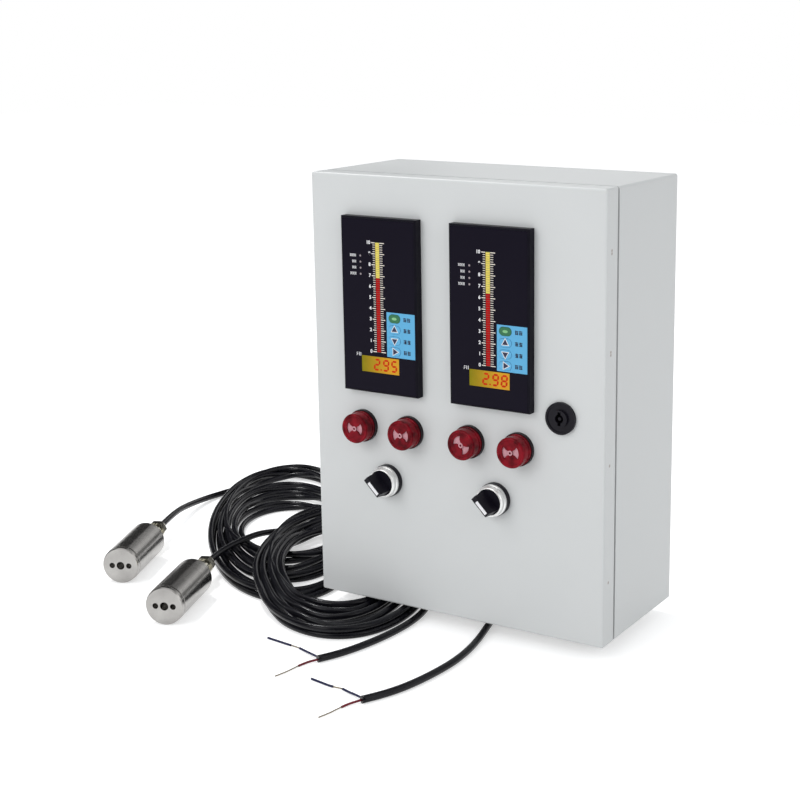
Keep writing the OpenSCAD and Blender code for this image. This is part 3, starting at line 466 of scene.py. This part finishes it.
def finish_material(name, colour, other, patch=20.0, grain=900.0, rough=0.4, rough_spread=0.08,
                    bump=0.1, depth=0.0001, metallic=0.0, specular=0.5):
    """A Principled material whose colour, roughness and height come from uneven_finish."""
    material = bpy.data.materials.new(name)
    material.use_nodes = True
    tree = material.node_tree
    shader = tree.nodes["Principled BSDF"]
    shader.inputs["Metallic"].default_value = metallic
    shader.inputs["Specular IOR Level"].default_value = specular
    group = tree.nodes.new("ShaderNodeGroup")
    group.node_tree = uneven
    group.inputs["Colour"].default_value = (*colour, 1.0)
    group.inputs["Other Colour"].default_value = (*other, 1.0)
    group.inputs["Patch Scale"].default_value = patch
    group.inputs["Grain Scale"].default_value = grain
    group.inputs["Roughness"].default_value = rough
    group.inputs["Roughness Spread"].default_value = rough_spread
    tree.links.new(group.outputs["Colour"], shader.inputs["Base Color"])
    tree.links.new(group.outputs["Roughness"], shader.inputs["Roughness"])
    bumps = tree.nodes.new("ShaderNodeBump")
    bumps.inputs["Strength"].default_value = bump
    bumps.inputs["Distance"].default_value = depth
    tree.links.new(group.outputs["Height"], bumps.inputs["Height"])
    tree.links.new(bumps.outputs["Normal"], shader.inputs["Normal"])
    return material


def recolour(tree, factor, colour):
    """Mixes another colour by a factor into the base colour that comes from uneven_finish."""
    own = next(n for n in tree.nodes if n.type == "GROUP").outputs["Colour"]
    tree.links.new(mixed(tree, factor, own, colour), tree.nodes["Principled BSDF"].inputs["Base Color"])


def dress(material, *names):
    """Gives CAD nodes a finished material."""
    for name in names:
        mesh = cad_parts[name].data
        mesh.materials.clear()
        mesh.materials.append(material)


jacket = finish_material("cable_jacket", (0.0035, 0.0035, 0.0055), (0.007, 0.007, 0.010), patch=60,
                         grain=700, rough=0.24, rough_spread=0.06, bump=0.04, specular=0.20)
blue_cover = finish_material("blue_wire_cover", (0.006, 0.008, 0.045), (0.010, 0.012, 0.06), patch=200,
                             rough=0.35, specular=0.25)
red_cover = finish_material("red_wire_cover", (0.11, 0.006, 0.014), (0.16, 0.010, 0.02), patch=200,
                            rough=0.35, specular=0.25)
bare_copper = finish_material("bare_strands", (0.14, 0.11, 0.07), (0.26, 0.21, 0.14), patch=900,
                              rough=0.35, metallic=0.8)

# the routes of each tail's two wires in mm, and the share of each that is
# covered or bare: the blue one has a bare stretch, the red one a bare end
WIRES = {
    1: {"blue": [(14, -306, 3.5), (0, -300, 2), (-9, -297, 1.2), (-16, -294, 1), (-28, -295, 1),
                 (-51, -291, 1)],
        "red": [(12, -307, 2.4), (6, -316, 1.4), (3, -328, 1), (2, -337, 1), (-1, -348, 1)]},
    2: {"blue": [(-67, -257, 3.5), (-83, -250, 2), (-93, -246, 1.2), (-101, -243, 1),
                 (-114, -242, 1), (-139, -239, 1)],
        "red": [(-68, -258, 2.4), (-74, -264, 1.4), (-77, -275, 1), (-78, -288, 1), (-81, -302, 1)]},
}
WIRE_SHARES = {
    "blue": [("cover", 0.0, 0.475), ("bare", 0.46, 0.635), ("cover", 0.62, 1.0)],
    "red": [("cover", 0.0, 0.44), ("bare", 0.42, 1.0)],
}
COVER_R, BARE_R = 0.0010, 0.00055
COVERS = {"blue": blue_cover, "red": red_cover}

below = np.zeros((0, 3))
for cable in (1, 2):
    line = cable_route(cable, below)
    below = np.concatenate([below, line])
    line = line + np.array([0, 0, FLOOR_Z])
    length = np.linalg.norm(np.diff(line, axis=0), axis=1).sum()
    print("cable", cable, "measures", round(float(length), 3), "points", len(line))
    cord = swept_tube(f"cable_{cable}", line, CABLE_D / 2)
    cord.data.materials.append(jacket)
    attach(cord, "box")
    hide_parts(f"cable_{cable}_coil", f"cable_{cable}_tube")
    for colour, points in WIRES[cable].items():
        run = eased(spaced(np.array(points) / 1000.0 + np.array([0, 0, FLOOR_Z]), 0.001), 3)
        for number, (kind, first, last) in enumerate(WIRE_SHARES[colour], 1):
            part = run[int(first * (len(run) - 1)) : int(last * (len(run) - 1)) + 1]
            wire = swept_tube(f"cable_{cable}_{colour}_{kind}_{number}", part,
                              COVER_R if kind == "cover" else BARE_R, 12)
            wire.data.materials.append(bare_copper if kind == "bare" else COVERS[colour])
            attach(wire, "box")
    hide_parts(f"cable_{cable}_wires")

# Cabinet and door.
# Folded and welded sheet steel under a light grey powder coat, which is
# satin with a fine orange peel. The door is a tray that covers the mouth.
powder_coat, door_coat = (
    finish_material(name, (0.640, 0.655, 0.655), (0.655, 0.668, 0.668), patch=6, grain=1400,
                    rough=0.42, rough_spread=0.06, bump=0.10, depth=0.00006)
    for name in ("powder_coat", "door_coat")
)
# the door's flange shows faint brown marks where it was spot welded
FLANGE_X, FLANGE_Y = 0.150, -0.1305
tree = door_coat.node_tree
where = tree.nodes.new("ShaderNodeTexCoord").outputs["Object"]
marked = None
for z in (0.148, 0.1455, 0.062, 0.0595, -0.037, -0.142):
    gap = tree.nodes.new("ShaderNodeVectorMath")
    gap.operation = "DISTANCE"
    gap.inputs[1].default_value = (FLANGE_X, FLANGE_Y, z)
    tree.links.new(where, gap.inputs[0])
    greatest = tree.nodes.new("ShaderNodeMath")
    greatest.operation = "MAXIMUM"
    tree.links.new(spread(tree, gap.outputs["Value"], 0.0007, 0.0018, 0.75, 0.0), greatest.inputs[0])
    greatest.inputs[1].default_value = 0.0
    if marked:
        tree.links.new(marked, greatest.inputs[1])
    marked = greatest.outputs[0]
recolour(tree, marked, (0.28, 0.20, 0.17))
dress(powder_coat, "cabinet")
dress(door_coat, "door")
foam = finish_material("gasket_foam", (0.05, 0.05, 0.055), (0.07, 0.07, 0.075), patch=200,
                       grain=1500, rough=0.9, bump=0.6, depth=0.0003)
dress(foam, "door_gasket")

# Hinges and lock.
# Zinc-plated leaves on a steel pin inside the left edge, and a black
# quarter-turn lock whose plated cam swings behind the rim.
zinc_plate = finish_material("zinc_plate", (0.55, 0.56, 0.57), (0.66, 0.66, 0.64), patch=60,
                             grain=300, rough=0.35, rough_spread=0.15, metallic=0.9)
dress(zinc_plate, "hinge_frame_leaf_upper", "hinge_frame_leaf_lower", "hinge_door_leaf_upper",
      "hinge_door_leaf_lower", "lock_cam", "mounting_plate", "plate_nuts", "terminal_rail",
      "meter_clamps")
pin_steel = finish_material("pin_steel", (0.50, 0.50, 0.49), (0.60, 0.60, 0.58), grain=300,
                            rough=0.3, metallic=1.0)
dress(pin_steel, "hinge_pins")
black_moulding = finish_material("black_moulding", (0.0055, 0.0045, 0.0085), (0.009, 0.008, 0.013),
                                 patch=80, grain=1100, rough=0.34, bump=0.12, specular=0.16)
dress(black_moulding, "lock_body", "lock_core", "panel_nuts")

# Meters.
# A black moulded front frame holds a printed film. Behind the film a board
# carries the light column and the figures; four keys press through it.
METER_X = {"left": -0.072, "right": 0.042}
METER_Z = 0.0835
FRONT_Y = -0.149
KEY_X, KEY_TOP, KEY_PITCH = 0.0166, -0.0095, 0.010
bezel_black = finish_material("bezel_black", (0.0045, 0.0038, 0.0085), (0.008, 0.007, 0.013), patch=50,
                              grain=1300, rough=0.33, bump=0.12, specular=0.07)
case_black = finish_material("case_black", (0.020, 0.020, 0.022), (0.028, 0.028, 0.030), rough=0.5)
board_green = finish_material("board_green", (0.01, 0.09, 0.04), (0.02, 0.13, 0.06), patch=90, rough=0.4)
film_print, film_in, film_out = shader_group(
    "keypad_field",
    [("Centre X", "f", 0.0), ("Ground", "c", (0.02, 0.02, 0.02, 1)), ("Field", "c", (0.3, 0.6, 0.8, 1))],
    [("Colour", "c")],
)
split = film_print.nodes.new("ShaderNodeSeparateXYZ")
film_print.links.new(film_print.nodes.new("ShaderNodeTexCoord").outputs["Object"], split.inputs[0])


def within(tree, value, centre, half):
    """1 where the value lies within half of centre; centre is a number or a socket."""
    node = tree.nodes.new("ShaderNodeMath")
    node.operation = "SUBTRACT"
    tree.links.new(value, node.inputs[0])
    if isinstance(centre, bpy.types.NodeSocket):
        tree.links.new(centre, node.inputs[1])
    else:
        node.inputs[1].default_value = centre
    size = tree.nodes.new("ShaderNodeMath")
    size.operation = "ABSOLUTE"
    tree.links.new(node.outputs[0], size.inputs[0])
    less = tree.nodes.new("ShaderNodeMath")
    less.operation = "LESS_THAN"
    tree.links.new(size.outputs[0], less.inputs[0])
    less.inputs[1].default_value = half
    return less.outputs[0]


field_x = film_print.nodes.new("ShaderNodeMath")
field_x.operation = "ADD"
film_print.links.new(film_in.outputs["Centre X"], field_x.inputs[0])
field_x.inputs[1].default_value = 0.02325
both = film_print.nodes.new("ShaderNodeMath")
both.operation = "MULTIPLY"
film_print.links.new(within(film_print, split.outputs["X"], field_x.outputs[0], 0.01505), both.inputs[0])
film_print.links.new(within(film_print, split.outputs["Z"], METER_Z - 0.02445, 0.02045), both.inputs[1])
film_print.links.new(
    mixed(film_print, both.outputs[0], film_in.outputs["Ground"], film_in.outputs["Field"]),
    film_out.inputs["Colour"],
)


def flat_prisms(name, outlines, front, back):
    """Closed plates cut to flat outlines in X and Z, each with the same number of corners, from
    the plane y = front to y = back. Corners run anticlockwise seen from the front."""
    outlines = np.asarray(outlines, float)
    count, corners = outlines.shape[:2]
    points = np.zeros((count, 2, corners, 3))
    points[..., 0] = outlines[:, None, :, 0]
    points[..., 2] = outlines[:, None, :, 1]
    points[:, 0, :, 1] = front
    points[:, 1, :, 1] = back
    faces = []
    ring = np.arange(corners)
    for k in range(count):
        base = k * 2 * corners
        faces.append((base + ring).tolist())
        faces.append((base + corners + ring[::-1]).tolist())
        after = (ring + 1) % corners
        sides = np.stack([base + after, base + ring, base + corners + ring, base + corners + after], axis=1)
        faces.extend(sides.tolist())
    mesh = bpy.data.meshes.new(name)
    mesh.from_pydata(points.reshape(-1, 3).tolist(), [], faces)
    mesh.update()
    plate = bpy.data.objects.new(name, mesh)
    scene.collection.objects.link(plate)
    return plate


def bars(boxes):
    """Corner lists of upright rectangles given as x0, x1, z0, z1."""
    boxes = np.asarray(boxes, float)
    x0, x1, z0, z1 = boxes.T
    return np.stack([np.stack([x0, x1, x1, x0], 1), np.stack([z0, z0, z1, z1], 1)], axis=2)


def round_outline(corners):
    """Corners of a circle of radius 1 about zero, anticlockwise from the right."""
    angle = np.linspace(0, 2 * np.pi, corners, endpoint=False)
    return np.stack([np.cos(angle), np.sin(angle)], axis=1)


def lit_material(name, colour, other, glow):
    """A finish that also gives off a little of its own colour."""
    material = finish_material(name, colour, other, patch=160, rough=0.35, bump=0.05)
    shader = material.node_tree.nodes["Principled BSDF"]
    shader.inputs["Specular IOR Level"].default_value = 0.10
    shader.inputs["Emission Color"].default_value = (*colour, 1.0)
    shader.inputs["Emission Strength"].default_value = glow
    return material


white_ink = finish_material("white_ink", (0.86, 0.86, 0.88), (0.78, 0.78, 0.80), rough=0.5)
cream_ink = finish_material("cream_ink", (0.86, 0.80, 0.72), (0.78, 0.72, 0.64), rough=0.5)
navy_ink = finish_material("navy_ink", (0.010, 0.012, 0.05), (0.015, 0.018, 0.07), rough=0.45)
FIELD_BLUE = (0.130, 0.430, 0.700)
key_blue = finish_material("key_blue", FIELD_BLUE, (0.150, 0.460, 0.730), rough=0.35, specular=0.1)
key_green = finish_material("key_green", (0.010, 0.14, 0.05), (0.015, 0.17, 0.06), rough=0.35)
lit_red = lit_material("lit_red", (0.44, 0.006, 0.007), (0.37, 0.005, 0.006), 0.06)
lit_yellow = lit_material("lit_yellow", (0.72, 0.60, 0.13), (0.66, 0.53, 0.10), 0.12)
lit_figure = lit_material("lit_figure", (0.56, 0.032, 0.003), (0.48, 0.024, 0.003), 0.06)
SEGMENTS = {"2": "abged", "9": "abcdfg", "5": "afgcd", "8": "abcdefg"}


def figure_segments(text, centres, z, width, height, stroke, slant):
    """Seven-segment figures: each segment is a six-cornered bar between two of a figure's six
    corner points, and every corner leans by slant times its height."""
    w, h, s = width / 2, height / 2, stroke / 2
    ends = {
        "a": ((-w, h), (w, h)), "b": ((w, h), (w, 0)), "c": ((w, 0), (w, -h)), "d": ((-w, -h), (w, -h)),
        "e": ((-w, 0), (-w, -h)), "f": ((-w, h), (-w, 0)), "g": ((-w, 0), (w, 0)),
    }
    shapes = []
    for figure, x in zip(text, centres):
        for segment in SEGMENTS[figure]:
            p, q = (np.array(e) for e in ends[segment])
            run = (q - p) / np.linalg.norm(q - p)
            side = np.array([run[1], -run[0]])
            p, q = p + run * s * 0.25, q - run * s * 0.25
            shape = np.array([p, p + run * s + side * s, q - run * s + side * s, q,
                              q - run * s - side * s, p + run * s - side * s])
            shape[:, 0] += shape[:, 1] * slant + x
            shape[:, 1] += z
            shapes.append(shape)
    return shapes


# how much wider than drawn each numeral's strokes are on either side
STROKE_GROWTH = 0.00016


def numerals(name, texts, places, size, front, back):
    """Scale numerals in Blender's plain letters, right-aligned at each place, made one mesh."""
    verts, faces, start = [], [], 0
    for text, (x, z) in zip(texts, places):
        curve = bpy.data.curves.new("numeral", "FONT")
        curve.body = text
        curve.size = size
        curve.offset = STROKE_GROWTH
        curve.align_x = "RIGHT"
        curve.align_y = "CENTER"
        curve.extrude = abs(back - front) / 2
        letter = bpy.data.objects.new("numeral", curve)
        mesh = bpy.data.meshes.new_from_object(letter)
        flat = np.zeros(len(mesh.vertices) * 3)
        mesh.vertices.foreach_get("co", flat)
        flat = flat.reshape(-1, 3)
        spot = np.stack([flat[:, 0] + x, (front + back) / 2 - flat[:, 2], flat[:, 1] + z], axis=1)
        verts.append(spot)
        faces.extend([[v + start for v in p.vertices] for p in mesh.polygons])
        start += len(flat)
        bpy.data.meshes.remove(mesh)
        bpy.data.objects.remove(letter)
        bpy.data.curves.remove(curve)
    mesh = bpy.data.meshes.new(name)
    mesh.from_pydata(np.concatenate(verts).tolist(), [], faces)
    mesh.update()
    figure = bpy.data.objects.new(name, mesh)
    scene.collection.objects.link(figure)
    return figure


def fixed_to(piece, body, slot, *materials):
    """Materials and body of a finished piece; slot is not used."""
    for material in materials:
        piece.data.materials.append(material)
    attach(piece, body)
    return piece


def amber_window(name, left, right):
    """A finish that runs from olive at the window's left edge to orange at its right one."""
    material = lit_material(name, (0.22, 0.185, 0.004), (0.25, 0.205, 0.005), 0.03)
    tree = material.node_tree
    across = tree.nodes.new("ShaderNodeSeparateXYZ")
    tree.links.new(tree.nodes.new("ShaderNodeTexCoord").outputs["Object"], across.inputs[0])
    recolour(tree, spread(tree, across.outputs["X"], left, right, 0.0, 1.0), (0.64, 0.32, 0.022))
    return material


# the print's thickness, the lamps in a light column and the gap beside each,
# the column's foot and head from the meter's middle, and each meter's reading
INK = 0.00006
LAMPS, LAMP_GAP = 50, 0.00012
COLUMN_FOOT, COLUMN_HEAD = -0.0418, 0.0578
LEVEL = {"left": 0.69, "right": 0.648}
READING = {"left": "295", "right": "298"}
for side, cx in METER_X.items():
    film = bpy.data.materials.new(f"printed_film_{side}")
    film.use_nodes = True
    shader = film.node_tree.nodes["Principled BSDF"]
    shader.inputs["Roughness"].default_value = 0.32
    shader.inputs["Specular IOR Level"].default_value = 0.06
    group = film.node_tree.nodes.new("ShaderNodeGroup")
    group.node_tree = film_print
    group.inputs["Centre X"].default_value = cx
    group.inputs["Ground"].default_value = (0.0065, 0.0050, 0.0120, 1.0)
    group.inputs["Field"].default_value = (*FIELD_BLUE, 1.0)
    film.node_tree.links.new(group.outputs["Colour"], shader.inputs["Base Color"])
    dress(bezel_black, f"meter_{side}_bezel")
    dress(film, f"meter_{side}_face")
    dress(board_green, f"meter_{side}_board")
    dress(case_black, f"meter_{side}_case")

    # light column: fifty lamps, lit red up to the level and yellow above it
    low, high = METER_Z + COLUMN_FOOT, METER_Z + COLUMN_HEAD
    edges = np.linspace(low, high, LAMPS + 1)
    cells = np.stack([np.full(LAMPS, cx - 0.00255), np.full(LAMPS, cx + 0.00155),
                      edges[:-1] + LAMP_GAP, edges[1:] - LAMP_GAP], axis=1)
    lit = (np.arange(LAMPS) + 0.5) / LAMPS < LEVEL[side]
    for part, chosen, look in (("red", lit, lit_red), ("yellow", ~lit, lit_yellow)):
        column = flat_prisms(f"meter_{side}_column_{part}", bars(cells[chosen]), FRONT_Y + 0.00003,
                             FRONT_Y + 0.00022)
        fixed_to(column, "door_leaf", "display", look)

    # scale: a mark between the lamps, each fifth one longer and numbered
    marks = np.linspace(low + 0.0003, high - 0.0003, LAMPS + 1)
    tenth = np.arange(LAMPS + 1) % 5 == 0
    ticks = []
    for z, major in zip(marks, tenth):
        t = 0.00040 if major else 0.00026
        ticks.append([cx - (0.0068 if major else 0.0054), cx - 0.0030, z - t, z + t])
        ticks.append([cx + 0.0020, cx + (0.0068 if major else 0.0050), z - t, z + t])
    scale = flat_prisms(f"meter_{side}_scale_marks", bars(ticks), FRONT_Y - INK, FRONT_Y)
    fixed_to(scale, "door_leaf", "film", cream_ink)
    figures = numerals(
        f"meter_{side}_scale_figures", [str(v) for v in range(11)],
        [(cx - 0.0079, z) for z in marks[tenth]], 0.0043, FRONT_Y - INK, FRONT_Y,
    )
    fixed_to(figures, "door_leaf", "film", white_ink)

    # alarm rows at the left, each of strokes up to one line and a lamp dot, and
    # the two letters beside the window
    rows = METER_Z + np.array([0.0450, 0.0395, 0.0340, 0.0285])
    strokes = []
    for z, count in zip(rows, (3, 2, 2, 3)):
        for x0 in cx - 0.0232 - 0.0023 * np.arange(1, count + 1):
            strokes += [[x0, x0 + 0.0007, z - 0.0012, z + 0.0012],
                        [x0 + 0.0012, x0 + 0.0018, z - 0.0012, z + 0.0012],
                        [x0, x0 + 0.0018, z - 0.0004, z + 0.0003]]
    for x in (-0.0252, -0.0226):
        strokes += [[cx + x, cx + x + 0.0006, METER_Z - 0.0468, METER_Z - 0.0436]]
    strokes += [[cx - 0.0252, cx - 0.0236, METER_Z - 0.0442, METER_Z - 0.0436],
                [cx - 0.0252, cx - 0.0236, METER_Z - 0.0456, METER_Z - 0.0450],
                [cx - 0.0210, cx - 0.0204, METER_Z - 0.0468, METER_Z - 0.0436]]
    legend = flat_prisms(f"meter_{side}_row_marks", bars(strokes), FRONT_Y - INK, FRONT_Y)
    fixed_to(legend, "door_leaf", "film", white_ink)
    disc = round_outline(16)
    dots = flat_prisms(f"meter_{side}_row_lamps",
                       [disc * 0.0009 + (cx - 0.0189, z) for z in rows], FRONT_Y - INK, FRONT_Y)
    fixed_to(dots, "door_leaf", "film",
             finish_material(f"row_lamp_{side}", (0.30, 0.26, 0.28), (0.36, 0.30, 0.32)))

    # figures in the amber window
    window = flat_prisms(f"meter_{side}_window", bars([[cx - 0.01965, cx + 0.02065, METER_Z - 0.06085,
                         METER_Z - 0.04615]]), FRONT_Y + 0.00008, FRONT_Y + 0.00020)
    fixed_to(window, "door_leaf", "display", amber_window(f"amber_window_{side}", cx - 0.0190, cx + 0.0100))
    shapes = figure_segments(READING[side], [cx - 0.0031, cx + 0.0066, cx + 0.0154], METER_Z - 0.0534, 0.0050,
                             0.0092, 0.0018, 0.10)
    reading = flat_prisms(f"meter_{side}_reading", shapes, FRONT_Y, FRONT_Y + 0.00009)
    fixed_to(reading, "door_leaf", "display", lit_figure)
    point = flat_prisms(f"meter_{side}_decimal_point", [disc * 0.0008 + (cx + 0.0012, METER_Z - 0.0578)],
                        FRONT_Y, FRONT_Y + 0.00009)
    fixed_to(point, "door_leaf", "display", lit_figure)

    # key legends on the blue field
    strokes = []
    for k in range(4):
        z = METER_Z + KEY_TOP - k * KEY_PITCH
        shift = 0.0004 * (k % 3)
        for x0 in (cx + 0.0262, cx + 0.0302):
            strokes += [[x0, x0 + 0.0032, z + 0.0009, z + 0.0016],
                        [x0, x0 + 0.0032, z - 0.0004, z + 0.0003],
                        [x0, x0 + 0.0032, z - 0.0017, z - 0.0010],
                        [x0 + 0.0004 + shift, x0 + 0.0011 + shift, z - 0.0019, z + 0.0019],
                        [x0 + 0.0020, x0 + 0.0027, z - 0.0019, z + 0.0006]]
    legend = flat_prisms(f"meter_{side}_key_legends", bars(strokes), FRONT_Y - INK, FRONT_Y)
    fixed_to(legend, "door_leaf", "film", navy_ink)

    # keys: the first green, the others blue with an arrowhead
    dress(key_green, f"meter_{side}_key_1")
    dress(key_blue, *[f"meter_{side}_key_{k}" for k in (2, 3, 4)])
    key_front = FRONT_Y - 0.0003
    z = METER_Z + KEY_TOP
    swash = flat_prisms(f"meter_{side}_key_1_mark", [disc * (0.0026, 0.0013) + (cx + KEY_X, z)],
                        key_front - INK, key_front)
    fixed_to(swash, f"key_{side}_1", "key_film",
             finish_material(f"key_mark_{side}", (0.20, 0.50, 0.22), (0.26, 0.56, 0.28)))
    for k, aim in ((2, 90.0), (3, -90.0), (4, 0.0)):
        z = METER_Z + KEY_TOP - (k - 1) * KEY_PITCH
        turn = np.radians(aim + np.array([0, 120, 240]))
        corners = np.stack([np.cos(turn), np.sin(turn)], axis=1)
        for part, size, look, lift in (
            ("edge", 0.0045, white_ink, INK), ("head", 0.0034, navy_ink, 2 * INK),
        ):
            head = flat_prisms(f"meter_{side}_key_{k}_{part}", [corners * size + (cx + KEY_X, z)],
                               key_front - lift, key_front)
            fixed_to(head, f"key_{side}_{k}", "key_film", look)

# Buzzer lamps.
# Each lamp is a black barrel with a collar under a dark red stepped lens.
# A pink sounder disc shows through the lens's bow-tie port.
LAMP_X = {1: -0.097, 2: -0.047, 3: 0.017, 4: 0.067}
LAMP_Z = -0.031
LENS_FRONT = -0.1565
# the lens red runs in random patches from bright red to near black red: painted highlights and painted shade
# on the lens, laid over its own dark red
lens_red_painted_light = finish_material("lens_red_painted_light", (0.25, 0.006, 0.015), (0.075, 0.001, 0.004), patch=110, grain=500,
                           rough=0.20, rough_spread=0.10, bump=0.10, depth=0.0003, specular=0.08)
lamp_black = finish_material("lamp_black", (0.008, 0.003, 0.005), (0.012, 0.005, 0.008), rough=0.3,
                             specular=0.15)
sounder_pink = finish_material("sounder_pink", (0.50, 0.22, 0.26), (0.60, 0.30, 0.34), patch=300,
                               grain=1500, rough=0.4, bump=0.3, depth=0.0002)


def turned_ring(name, centre, section, sides=32):
    """A closed ring about an axis along Y: each point of the section, a radius and a Y, turned
    round the centre, given in X and Z. The section runs inner back, inner front, outer front,
    outer back."""
    turn = np.linspace(0, 2 * np.pi, sides, endpoint=False)
    radius, depth = np.array(section).T
    points = np.stack([
        centre[0] + radius[:, None] * np.cos(turn), np.repeat(depth[:, None], sides, axis=1),
        centre[1] + radius[:, None] * np.sin(turn)], axis=2)
    return grid_mesh(name, points, closed=True, round_rows=True)


for number, x in LAMP_X.items():
    dress(lamp_black, f"buzzer_{number}_body")
    dress(lens_red_painted_light, f"buzzer_{number}_lens")
    sounder = flat_prisms(f"buzzer_{number}_sounder", [round_outline(40) * 0.0097 + (x, LAMP_Z)],
                          LENS_FRONT + 0.00185, LENS_FRONT + 0.00195)
    fixed_to(sounder, "door_leaf", "red_lens", sounder_pink)
    hub = turned_ring(f"buzzer_{number}_hub_ring", (x, LAMP_Z), [
        (0.00100, LENS_FRONT + 0.00025), (0.00115, LENS_FRONT + 0.00002), (0.00215, LENS_FRONT + 0.00002),
        (0.00235, LENS_FRONT + 0.00025)])
    fixed_to(hub, "door_leaf", "red_lens", sounder_pink)

# Selector switches.
# A black collar, a bright ring and a black handle with a white pointer line.
SELECTOR_X = {"left": -0.071, "right": 0.043}
SELECTOR_Z = -0.080
POINTER_FRONT, POINTER_BACK = -0.16712, -0.16695
ring_chrome = finish_material("ring_chrome", (0.88, 0.88, 0.87), (0.94, 0.94, 0.93), grain=200,
                              rough=0.36, rough_spread=0.08, bump=0.02, metallic=0.75)
for side, x in SELECTOR_X.items():
    dress(black_moulding, f"selector_{side}_body", f"selector_{side}_knob")
    dress(ring_chrome, f"selector_{side}_ring")
    aim = math.radians(135.0)
    along = np.array([math.cos(aim), math.sin(aim)])
    beside = np.array([-along[1], along[0]])
    half, start, end = 0.0015, 0.0053, -0.0084
    outline = np.array([along * start - beside * half, along * start + beside * half,
                        along * end + beside * half, along * end - beside * half]) + (x, SELECTOR_Z)
    outline = outline[::-1] if np.cross(outline[1] - outline[0], outline[2] - outline[1]) < 0 else outline
    pointer = flat_prisms(f"selector_{side}_pointer", [outline], POINTER_FRONT, POINTER_BACK)
    fixed_to(pointer, f"selector_{side}", "black_plastic", white_ink)

# Inside and base.
# Grey rail terminals on a zinc-plated rail, black grommets and feet.
terminal_grey = finish_material("terminal_grey", (0.24, 0.26, 0.27), (0.28, 0.30, 0.31), rough=0.5)
dress(terminal_grey, "terminals")
base_rubber = finish_material("base_rubber", (0.015, 0.015, 0.016), (0.022, 0.022, 0.023), grain=1200,
                              rough=0.75, bump=0.3)
dress(base_rubber, "entry_grommets", "feet")

# Probes.
# Turned stainless steel bodies with pressure ports in the nose and a
# nickel-plated gland behind.
STEEL, BRIGHT_STEEL, STEEL_ROUGH = (0.32, 0.31, 0.30), (0.42, 0.41, 0.395), 0.23


def turned_steel(name, heading):
    """Metal with fine rings round an axis in the floor plane: noise squeezed along the axis."""
    material = bpy.data.materials.new(name)
    material.use_nodes = True
    tree = material.node_tree
    shader = tree.nodes["Principled BSDF"]
    shader.inputs["Metallic"].default_value = 1.0
    where = tree.nodes.new("ShaderNodeTexCoord").outputs["Object"]
    turned = tree.nodes.new("ShaderNodeMapping")
    turned.vector_type = "POINT"
    turned.inputs["Rotation"].default_value = (0.0, 0.0, -heading)
    tree.links.new(where, turned.inputs["Vector"])
    rings = noise(tree, 120.0, 3.0, turned.outputs["Vector"], (12.0, 0.4, 0.4))
    blotch = noise(tree, 45.0, 2.0, where)
    tone = mixed(tree, spread(tree, rings, 0.3, 0.7, 0.0, 1.0), STEEL, BRIGHT_STEEL)
    tree.links.new(tone, shader.inputs["Base Color"])
    sheen = tree.nodes.new("ShaderNodeMath")
    sheen.operation = "MULTIPLY_ADD"
    tree.links.new(blotch, sheen.inputs[0])
    sheen.inputs[1].default_value = 0.05
    sheen.inputs[2].default_value = STEEL_ROUGH
    tree.links.new(sheen.outputs[0], shader.inputs["Roughness"])
    bumps = tree.nodes.new("ShaderNodeBump")
    bumps.inputs["Strength"].default_value = 0.10
    bumps.inputs["Distance"].default_value = 0.0001
    tree.links.new(rings, bumps.inputs["Height"])
    tree.links.new(bumps.outputs["Normal"], shader.inputs["Normal"])
    return material


nickel = finish_material("nickel_plate", (0.50, 0.48, 0.41), (0.60, 0.58, 0.50), patch=120, grain=250,
                         rough=0.20, metallic=1.0)
for probe in (1, 2):
    dress(turned_steel(f"probe_steel_{probe}", PROBE_HEADING[probe]), f"probe_{probe}_body")
    dress(nickel, f"probe_{probe}_gland")
